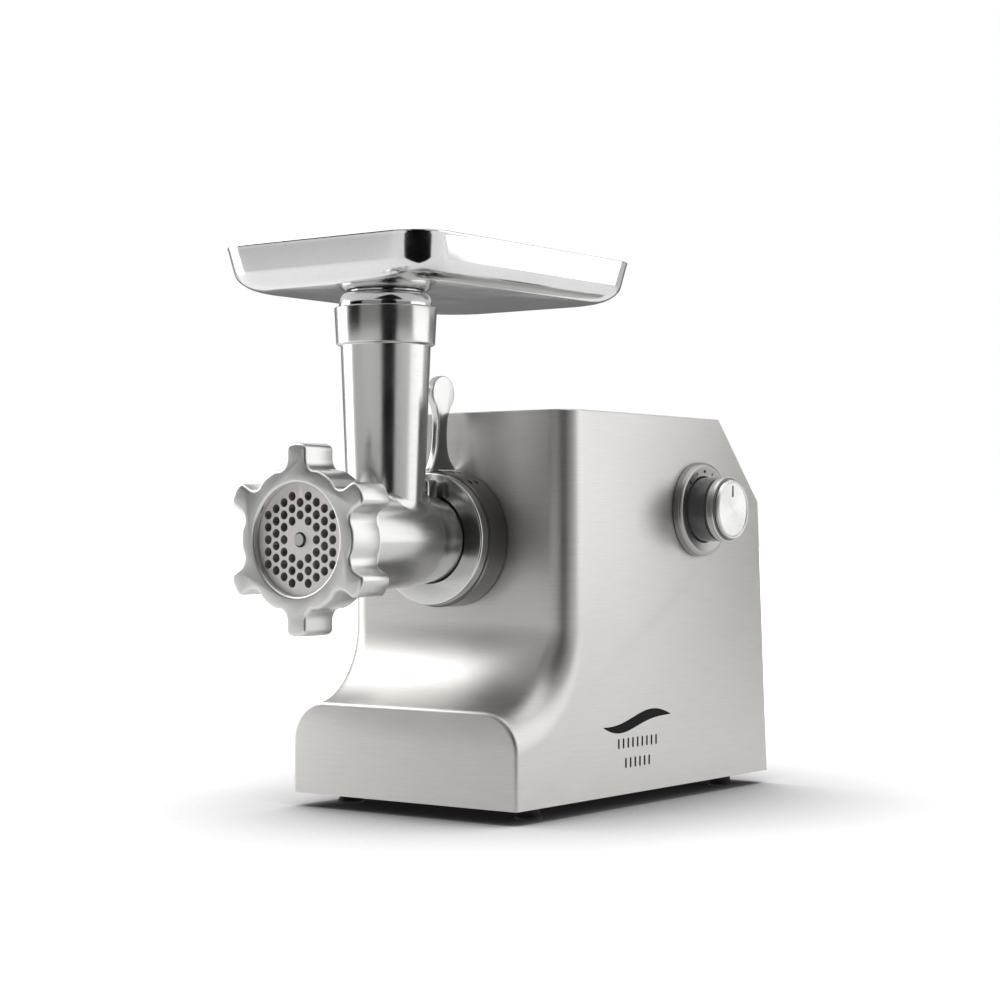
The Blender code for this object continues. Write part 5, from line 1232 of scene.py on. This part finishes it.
@dataclass
class HeadLock:
    """Fixed boss, polished lock ring and the lever that turns it."""

    axis_z: float = AXIS_Z
    boss_radius: float = 36.4
    boss_neck: float = 30.0
    face_y: float = FACE_Y
    bore: float = 23.4
    lock_radius: float = 35.3
    lock_front: float = 23.7
    lock_depth: float = 6.0
    lever_y: float = 34.0
    lever_height: float = 77.8
    paddle: float = 9.3
    thickness: float = 4.6

    def build_boss(self, metal: bpy.types.Material) -> bpy.types.Object:
        """Turn the boss, with a shadow groove where it meets the case."""
        front = self.lock_front + self.lock_depth + 0.3
        rear, edge = 49.7, self.face_y - 0.3
        profile: list[Point] = [
            (self.bore, rear), (self.boss_neck, rear), (self.boss_neck, edge),
            (self.boss_radius - 0.8, edge), (self.boss_radius, edge - 0.8),
            (self.boss_radius, front + 0.6), (self.boss_radius - 0.6, front),
            (self.bore + 0.5, front), (self.bore, front + 0.5)]
        boss = lathe("turned_boss", profile, world(0, 0, self.axis_z), Axis.Y, 112)
        return finish_piece(boss, Body.MACHINE, metal, ("front_boss",), 30)

    def build_ring(self, metal: bpy.types.Material) -> bpy.types.Object:
        """Turn the lock ring, with a rolled front edge."""
        front, rear = self.lock_front, self.lock_front + self.lock_depth
        profile: list[Point] = [(self.bore, rear), (self.lock_radius - 0.3, rear),
                                (self.lock_radius, rear - 0.3)]
        profile += arc((self.lock_radius - 1.2, front + 1.2), 1.2, 0, -90, 6)
        profile += [(self.bore + 0.6, front), (self.bore, front + 0.6)]
        ring = lathe("turned_lock_ring", profile, world(0, 0, self.axis_z), Axis.Y, 112)
        return finish_piece(ring, Body.LOCK, metal, ("lock_ring",), 30)

    def lever_outline(self) -> list[Point]:
        """Side view of the lever, above the head's axis: foot, waist and round paddle."""
        ring_top, boss_top = self.lock_radius + 0.3, self.boss_radius + 0.7
        y, top = self.lever_y, ring_top
        front = [(self.lock_front, top), (self.lock_front, top + 1.6),
                 (self.lock_front + 1.2, top + 3.6), (self.lock_front + 2.6, top + 6.5),
                 (self.lock_front + 3.8, top + 9.7), (self.lock_front + 4.7, top + 13.0),
                 (self.lock_front + 5.3, top + 17.0), (y - 4.6, top + 21.0),
                 (y - 4.3, top + 25.0), (y - 4.4, top + 29.0), (y - 5.2, top + 32.2)]
        paddle = arc((y, self.lever_height), self.paddle, 228, -48, 36)
        rear = [(y + 4.8, top + 32.0), (y + 3.7, top + 28.8), (y + 3.1, top + 25.0),
                (y + 2.8, top + 21.0), (y + 2.9, top + 17.0), (y + 3.3, top + 13.0),
                (y + 4.1, top + 9.6), (y + 5.3, top + 7.0), (y + 6.8, boss_top + 3.6),
                (y + 8.4, boss_top + 2.0), (y + 9.6, boss_top + 0.9), (y + 9.6, boss_top),
                (self.lock_front + self.lock_depth, boss_top),
                (self.lock_front + self.lock_depth, top)]
        return front + paddle + rear

    def build_lever(self, metal: bpy.types.Material) -> bpy.types.Object:
        """Cut the lever from its outline and round it all over."""
        half = self.thickness / 2
        points = [world(-half, y, self.axis_z + z) for y, z in self.lever_outline()]
        lever = slab("cast_lever", points, Vector((self.thickness * MM, 0, 0)))
        soften(lever, 1.0, 4, 60)
        return finish_piece(lever, Body.LOCK, metal, ("lock_lever",), 40)

    def build_marks(self, ink: bpy.types.Material) -> bpy.types.Object:
        """Print two small arrowheads on the boss, beside the lever."""
        pieces = []
        for index, angle in enumerate((14.0, 34.0)):
            for y, grow in ((33.0, 1.0), (38.5, 0.75)):
                turn = math.radians(90 - angle)
                radius = self.boss_radius + 0.02
                tall, wide = 3.4 * grow, 2.6 * grow
                corners = ((0.0, tall), (-wide, -tall * 0.4), (wide, -tall * 0.4))
                sign = 1 if index else -1
                points = []
                for along, across in corners:
                    bend = turn + sign * along / radius
                    points.append(world(radius * math.cos(bend), y + across * 0.5,
                                        self.axis_z + radius * math.sin(bend)))
                out = Vector((math.cos(turn), 0, math.sin(turn))) * 0.00008
                pieces.append(slab("arrow", points, out))
        marks = join_pieces(pieces)
        marks.name = "boss_marks"
        return finish_piece(marks, Body.MACHINE, ink)


# ---------------------------------------------------------------- knob

@dataclass
class SpeedKnob:
    """Knob with a spun metal cap, in a satin bezel with its printed positions."""

    y: float = KNOB_Y
    z: float = KNOB_Z
    bezel_radius: float = 26.5
    bezel_thickness: float = 5.0
    radius: float = 18.0
    start: float = 1.0
    length: float = 20.0
    cap_radius: float = 16.4
    cap_thickness: float = 2.2
    side: float = 75.3

    def centre(self) -> Vector:
        """World place of the knob's axis on the side of the case."""
        return world(self.side, self.y, self.z)

    def build_bezel(self, metal: bpy.types.Material) -> bpy.types.Object:
        """Turn the dished bezel with its rolled rim."""
        inner, thick = self.radius + 0.4, self.bezel_thickness + 0.3
        profile: list[Point] = [(inner, thick - 1.6), (inner + 0.5, thick - 1.1),
                                (inner + 3.4, thick - 0.7)]
        profile += arc((self.bezel_radius - 2.4, thick - 2.4), 2.4, 108, 0, 10)
        profile += [(self.bezel_radius, 0.3), (inner, 0.3)]
        bezel = lathe("turned_bezel", profile, self.centre(), Axis.X, 112)
        return finish_piece(bezel, Body.MACHINE, metal, ("knob_bezel",), 35)

    def build_body(self, plastic: bpy.types.Material) -> bpy.types.Object:
        """Turn the knob's glossy barrel and its stem."""
        end = self.start + self.length
        profile: list[Point] = [(0, end), (self.radius - 1.2, end)]
        profile += arc((self.radius - 1.3, end - 1.1), 1.1, 85, 0, 5)
        profile += [(self.radius - 0.2, end - 5.0), (self.radius - 0.9, end - 5.3),
                    (self.radius - 0.9, end - 6.1), (self.radius - 0.1, end - 6.4),
                    (self.radius, self.start + 4.0)]
        profile += arc((self.radius - 0.8, self.start + 0.8), 0.8, 0, -90, 4)
        profile += [(3.5, self.start), (3.5, -15.0), (0, -15.0)]
        body = lathe("knob_barrel", profile, self.centre(), Axis.X, 112)
        return finish_piece(body, Body.KNOB, plastic, ("knob_body",), 30)

    def build_band(self, metal: bpy.types.Material) -> bpy.types.Object:
        """Turn the bright band round the front of the knob."""
        end = self.start + self.length
        profile: list[Point] = [(self.radius - 0.3, end - 0.6), (self.radius + 0.05, end - 1.0),
                                (self.radius + 0.12, end - 1.6), (self.radius + 0.12, end - 4.0),
                                (self.radius, end - 4.6), (self.radius - 0.4, end - 4.6)]
        band = lathe("knob_band", profile, self.centre(), Axis.X, 112)
        return finish_piece(band, Body.KNOB, metal, (), 30)

    def build_cap(self, metal: bpy.types.Material, ink: bpy.types.Material) -> None:
        """Turn the spun cap and print its pointer."""
        back = self.start + self.length + 0.3
        front = back + self.cap_thickness
        profile: list[Point] = [(0, front - 0.7), (self.cap_radius - 1.6, front - 0.6)]
        profile += [(self.cap_radius - 1.1, front - 0.1), (self.cap_radius - 0.7, front),
                    (self.cap_radius - 0.2, front - 0.3), (self.cap_radius, front - 0.9),
                    (self.cap_radius, back), (0, back)]
        cap = lathe("spun_cap", profile, self.centre(), Axis.X, 112)
        finish_piece(cap, Body.KNOB, metal, ("knob_cap",), 25)
        middle = self.centre() + Vector(((front - 0.66) * MM, 0, 0))
        outline = rounded_rectangle(1.4, 6.5, 0.6, 4, (0, self.cap_radius - 6.4))
        points = [middle + Vector((0, y * MM, z * MM)) for y, z in outline]
        line = slab("knob_pointer", points, Vector((0.00008, 0, 0)))
        finish_piece(line, Body.KNOB, ink)

    def build_ticks(self, ink: bpy.types.Material) -> bpy.types.Object:
        """Print the positions on the bezel: a dot for off, bars for on and reverse."""
        pieces = []
        face = self.bezel_thickness - 0.35
        middle = self.centre() + Vector((face * MM, 0, 0))
        for angle, width, tall in ((90, 1.8, 1.8), (135, 0.9, 3.2), (45, 0.9, 3.2),
                                   (112, 0.6, 1.4), (68, 0.6, 1.4)):
            turn = math.radians(angle)
            reach = self.radius + 3.4
            outline = rounded_rectangle(width, tall, min(width, tall) / 2.01, 4)
            points = []
            for across, along in outline:
                y = (reach + along) * math.cos(turn) - across * math.sin(turn)
                z = (reach + along) * math.sin(turn) + across * math.cos(turn)
                points.append(middle + Vector((0, y * MM, z * MM)))
            pieces.append(slab("tick", points, Vector((0.0001, 0, 0))))
        ticks = join_pieces(pieces)
        ticks.name = "bezel_ticks"
        return finish_piece(ticks, Body.MACHINE, ink)


# ---------------------------------------------------------------- feet and back

@dataclass
class Underside:
    """Rubber feet under the case."""

    neck: float = 5.6
    radius: float = 7.25
    bore: float = 1.9
    recess: float = 3.6
    top: float = 7.6

    def build(self, rubber: bpy.types.Material) -> None:
        """Turn a foot at each corner."""
        for corner in ("front_left", "front_right", "rear_left", "rear_right"):
            node = "foot_" + corner
            low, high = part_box(node)
            centre = Vector(((low[0] + high[0]) / 2, (low[1] + high[1]) / 2, 0))
            profile: list[Point] = [(self.bore, self.top), (self.neck, self.top),
                                    (self.neck, 4.0), (self.neck + 0.3, 3.2)]
            profile += [(self.radius - 0.3, 1.6)]
            profile += arc((self.radius - 0.9, 0.9), 0.9, 30, -90, 6)
            profile += [(self.recess + 0.3, 0), (self.recess, 0.3), (self.recess, 3.6),
                        (self.bore, 3.6)]
            foot = lathe("rubber_" + node, profile, centre, Axis.Z, 48)
            finish_piece(foot, Body.MACHINE, rubber, (node,), 35)


@dataclass
class BackDetails:
    """Cross-head screws in the back panel's corners."""

    case: SteelCase
    inset: float = 8.0
    head: float = 3.1
    proud: float = 1.2
    sunk: float = 0.6
    slot_reach: float = 1.9
    slot_width: float = 0.8

    def screw(self, place: Vector, turn: Matrix) -> bpy.types.Object:
        """One screw head with its cross."""
        out = turn @ Vector((0, MM, 0))
        head = rod("screw_head", self.head, place - out * self.sunk, place + out * self.proud, 32)
        soften(head, 0.5, 3, 60)
        low = Vector((-self.slot_reach, -0.7, -self.slot_width / 2)) * MM
        high = Vector((self.slot_reach, 0.9, self.slot_width / 2)) * MM
        for angle in (45, 135):
            slot_turn = turn @ Euler((0, math.radians(angle), 0)).to_matrix()
            bar = block("cut_slot", low, high)
            bar.data.transform(Matrix.Translation(place + out * self.proud)
                               @ slot_turn.to_4x4())
            combine(head, bar, "DIFFERENCE")
        return head

    def build(self, metal: bpy.types.Material) -> bpy.types.Object:
        """Set a screw in each corner of the panel."""
        middle, turn = self.case.panel_place()
        across = self.case.window_width / 2 - self.inset
        up = self.case.window_height / 2 - self.inset
        screws = join_pieces([
            self.screw(middle + turn @ Vector((sx * across * MM, 0, sz * up * MM)), turn)
            for sx in (-1, 1) for sz in (-1, 1)])
        screws.name = "panel_screws"
        return finish_piece(screws, Body.MACHINE, metal, (), 35)


# ---------------------------------------------------------------- CAD pieces that show

def dress_nodes(finishes: dict[str, bpy.types.Material]) -> None:
    """Give each CAD node the finish of its slot.

    Args:
        finishes: Material for each slot of the record.
    """
    for entry in frame["record"]["subparts"]:
        obj = frame["nodes"][entry["node"]]
        obj.data.materials.clear()
        obj.data.materials.append(finishes[entry["material_slot"]])


# ---------------------------------------------------------------- studio

@dataclass
class Studio:
    """White sweep, large soft lights, dark flags for contrast, and the camera."""

    camera_place: Point3 = (741.0, -907.0, 150.0)
    azimuth: float = 36.7
    lens: float = 80.6
    shift: float = 0.029
    fill: float = 0.32
    floor_size: float = 30.0
    floor_glow: float = 0.52
    # The next two set the camera-ray glow of the open floor, and the reach of the ambient
    # occlusion that cuts it to paint the contact shadow.
    painted_shadow_glow_limit: float = 0.92
    shade_reach: float = 0.2

    def floor_paint(self) -> bpy.types.Material:
        """White floor that fades into the white round it, with its contact shadow painted into the
        glow that camera rays see.
        """
        material, tree, shader = new_material("floor_paint")
        seen = add_node(tree, "ShaderNodeLightPath").outputs["Is Camera Ray"]
        place = add_node(tree, "ShaderNodeTexCoord").outputs["Object"]
        reach = add_node(tree, "ShaderNodeVectorMath", {0: place},
                         operation="LENGTH").outputs["Value"]
        # For camera rays the glow rises with distance from the datum, so the floor round the
        # machine is painted darker.
        painted_shade_distance_glow = spread(tree, reach, 0.0, 0.9, (0.35, 0.65))
        # Ambient occlusion cuts the camera-ray glow near the machine, which paints the contact
        # shadow.
        painted_shadow_occlusion = add_node(tree, "ShaderNodeAmbientOcclusion", {"Distance": self.shade_reach},
                            samples=12).outputs["AO"]
        painted_shadow_glow = spread(tree, painted_shadow_occlusion, 0.0, self.painted_shadow_glow_limit, (0.42, 0.99))
        tree.links.new(mix_values(tree, seen, self.floor_glow,
                                  math_node(tree, "ADD", painted_shade_distance_glow, painted_shadow_glow)),
                       shader.inputs["Emission Strength"])
        # Camera rays see a darker base colour than other rays, which deepens the painted contact
        # shadow.
        tree.links.new(blend_colours(tree, seen, "#B4B4B4", "#8A8889"),
                       shader.inputs["Base Color"])
        shader.inputs["Emission Color"].default_value = (1, 1, 1, 1)
        shader.inputs["Roughness"].default_value = 0.9
        shader.inputs["Specular IOR Level"].default_value = 0.0
        return material

    def card(self, name: str, place: Point3, look_at: Point3, width: float, height: float,
             paint: bpy.types.Material) -> None:
        """Stand a card that only reflections see."""
        deselect_all()
        spot = world(*place)
        aim = world(*look_at) - spot
        bpy.ops.mesh.primitive_plane_add(size=1, location=spot,
                                         rotation=aim.to_track_quat("Z", "Y").to_euler())
        obj = bpy.context.object
        obj.name = name
        obj.scale = (width * MM, height * MM, 1)
        obj.data.materials.append(paint)
        obj.visible_camera = False
        obj.visible_diffuse = False
        obj.visible_shadow = False

    def light(self, name: str, place: Point3, look_at: Point3, width: float, height: float,
              power: float) -> None:
        """Hang a soft rectangular light."""
        data = bpy.data.lights.new(name, "AREA")
        data.shape = "RECTANGLE"
        data.size = width * MM
        data.size_y = height * MM
        data.energy = power
        obj = bpy.data.objects.new(name, data)
        obj.location = world(*place)
        aim = world(*look_at) - obj.location
        obj.rotation_euler = aim.to_track_quat("-Z", "Y").to_euler()
        obj.visible_camera = False
        bpy.context.scene.collection.objects.link(obj)

    def build(self) -> None:
        """Set up the floor, the lights, the cards and the camera."""
        scene = bpy.context.scene
        scene.view_settings.view_transform = "Standard"
        deselect_all()
        bpy.ops.mesh.primitive_plane_add(size=self.floor_size, location=(0, 0, 0))
        floor = bpy.context.object
        floor.name = "floor"
        floor.data.materials.append(self.floor_paint())
        black = PlainPaint("flag_black", "#020202").build()
        aim = (0.0, 60.0, 150.0)
        grey = PlainPaint("flag_grey", "#020202", glow=0.17).build()
        for name, place, size, paint in (
                ("flag_camera", (690, -640, 400), (640, 1500), black),
                ("flag_front", (-720, -900, 490), (800, 600), black),
                ("flag_rear", (-800, 1250, 250), (1700, 1000), grey)):
            self.card(name, place, aim, *size, paint)
        self.card("flag_low", (510, -460, 3), (510, -460, 500), 700, 700, black)
        for name, place, width, height, power in (
                ("key_left", (-1050, -230, 520), 800, 1300, 8),
                ("top_left", (-800, -50, 1150), 1500, 1500, 9),
                ("key_right", (1020, 850, 640), 1350, 1250, 7.2),
                ("rear_left", (-550, 1300, 900), 1200, 600, 3.0),
                ("top", (200, 200, 1500), 1500, 1500, 8)):
            self.light(name, place, aim, width, height, power)
        sky = bpy.data.worlds.new("studio")
        scene.world = sky
        sky.use_nodes = True
        tree = sky.node_tree
        tree.nodes.clear()
        dim = add_node(tree, "ShaderNodeBackground", {"Color": linear("#F2F1F0"),
                                                      "Strength": self.fill})
        white = add_node(tree, "ShaderNodeBackground", {"Color": (1, 1, 1, 1), "Strength": 1.0})
        ray = add_node(tree, "ShaderNodeLightPath").outputs["Is Camera Ray"]
        mix = add_node(tree, "ShaderNodeMixShader", {0: ray, 1: dim.outputs[0],
                                                     2: white.outputs[0]})
        add_node(tree, "ShaderNodeOutputWorld", {"Surface": mix.outputs[0]})
        camera = bpy.data.cameras.new("camera")
        camera.lens = self.lens
        camera.shift_y = self.shift
        obj = bpy.data.objects.new("camera", camera)
        obj.location = world(*self.camera_place)
        obj.rotation_euler = (math.pi / 2, 0, math.radians(self.azimuth))
        scene.collection.objects.link(obj)
        scene.camera = obj


# ---------------------------------------------------------------- assembly

def make_finishes() -> dict[str, bpy.types.Material]:
    """Make the finish of every material slot."""
    axis = (0.0, 0.0, AXIS_Z)
    knob_axis = (0.0, KNOB_Y, KNOB_Z)
    finishes = (
        ("case_steel", BrushedSheet("brushed_steel_sheet")),
        ("boss_steel", TurnedMetal("turned_steel_boss", axis, Axis.Y, "#8F8E8D", "#7C7B7A",
                                   0.3, 0.6, 0.3)),
        ("polished_aluminium", BareMetal("polished_cast_aluminium", "#CFCFCE", "#C6C6C5", 0.2)),
        ("cast_aluminium", BareMetal("satin_cast_aluminium", "#D8D8D6", "#CECECC", 0.32, 0.05,
                                     0.9, 0.12, 0.03)),
        ("tray_aluminium", BareMetal("polished_drawn_aluminium", "#DDDDDD", "#D4D4D4", 0.11,
                                     0.03, 1.6, 0.05, 0.03)),
        ("plate_steel", BareMetal("ground_steel", "#E2DEDC", "#D6D1CE", 0.54, 0.06, 0.7, 0.3,
                                  0.08)),
        ("hard_steel", BareMetal("machined_steel", "#8F8E8D", "#7A7978", 0.3, 0.06, 0.8, 0.2,
                                 0.06)),
        ("knob_plastic", Moulded("smoked_gloss_abs", "#4C4C4F", "#444447", 0.16, 1.5, 0.02,
                                 1.6, 0.5)),
        ("knob_trim", TurnedMetal("spun_aluminium", knob_axis, Axis.X, "#DEDEDD",
                                  "#C9C9C8", 0.28, 0.35, 0.3, 0.75)),
        ("bezel_metal", TurnedMetal("satin_bezel", knob_axis, Axis.X, "#A8A7A5",
                                    "#999896", 0.34, 0.4, 0.2)),
        ("black_plastic", Moulded("black_abs", "#161617", "#101011", 0.5, 0.8, 0.3)),
        ("white_plastic", Moulded("natural_nylon", "#D9D4C7", "#CCC6B8", 0.45, 1.0, 0.1)),
        ("foot_rubber", Moulded("black_rubber", "#0F0F10", "#0A0A0A", 0.7, 0.9, 0.35)),
        ("bronze", BareMetal("sintered_bronze", "#B08A4E", "#9A7741", 0.38, 0.06, 0.6, 0.4)),
        ("copper", BareMetal("enamelled_copper", "#B0603A", "#8F4A2B", 0.3, 0.05, 0.8, 0.4)),
        ("carbon", Moulded("pressed_carbon", "#1E1E1F", "#151516", 0.6, 0.5, 0.3)),
    )
    return {slot: finish.build() for slot, finish in finishes}


def build_pieces(finishes: dict[str, bpy.types.Material]) -> None:
    """Model every piece that stands for a CAD node, and the small printed details."""
    ink = Moulded("printed_ink", "#080808", "#050505", 0.65, 0.5, 0.05, 1.25).build()
    case = SteelCase()
    case.build(finishes["case_steel"])
    PrintedMark().build(ink)
    GrindingHead().build(finishes["polished_aluminium"])
    RingNut().build(finishes["cast_aluminium"])
    GrindingPlate().build(finishes["plate_steel"])
    tray = FeedTray()
    tray.build_tray(finishes["tray_aluminium"])
    tray.build_neck(finishes["tray_aluminium"])
    lock = HeadLock()
    lock.build_boss(finishes["boss_steel"])
    lock.build_ring(finishes["polished_aluminium"])
    lock.build_lever(finishes["polished_aluminium"])
    lock.build_marks(ink)
    knob = SpeedKnob()
    knob.build_bezel(finishes["bezel_metal"])
    knob.build_body(finishes["knob_plastic"])
    knob.build_band(finishes["knob_trim"])
    knob.build_cap(finishes["knob_trim"], ink)
    knob.build_ticks(ink)
    Underside().build(finishes["foot_rubber"])
    BackDetails(case).build(finishes["hard_steel"])


def main() -> None:
    """Dress the CAD nodes, model the pieces and set up the studio."""
    logging.basicConfig(level=logging.INFO, format="%(name)s: %(message)s")
    finishes = make_finishes()
    dress_nodes(finishes)
    build_pieces(finishes)
    Studio().build()
    deselect_all()


if __name__ == "__main__":
    main()
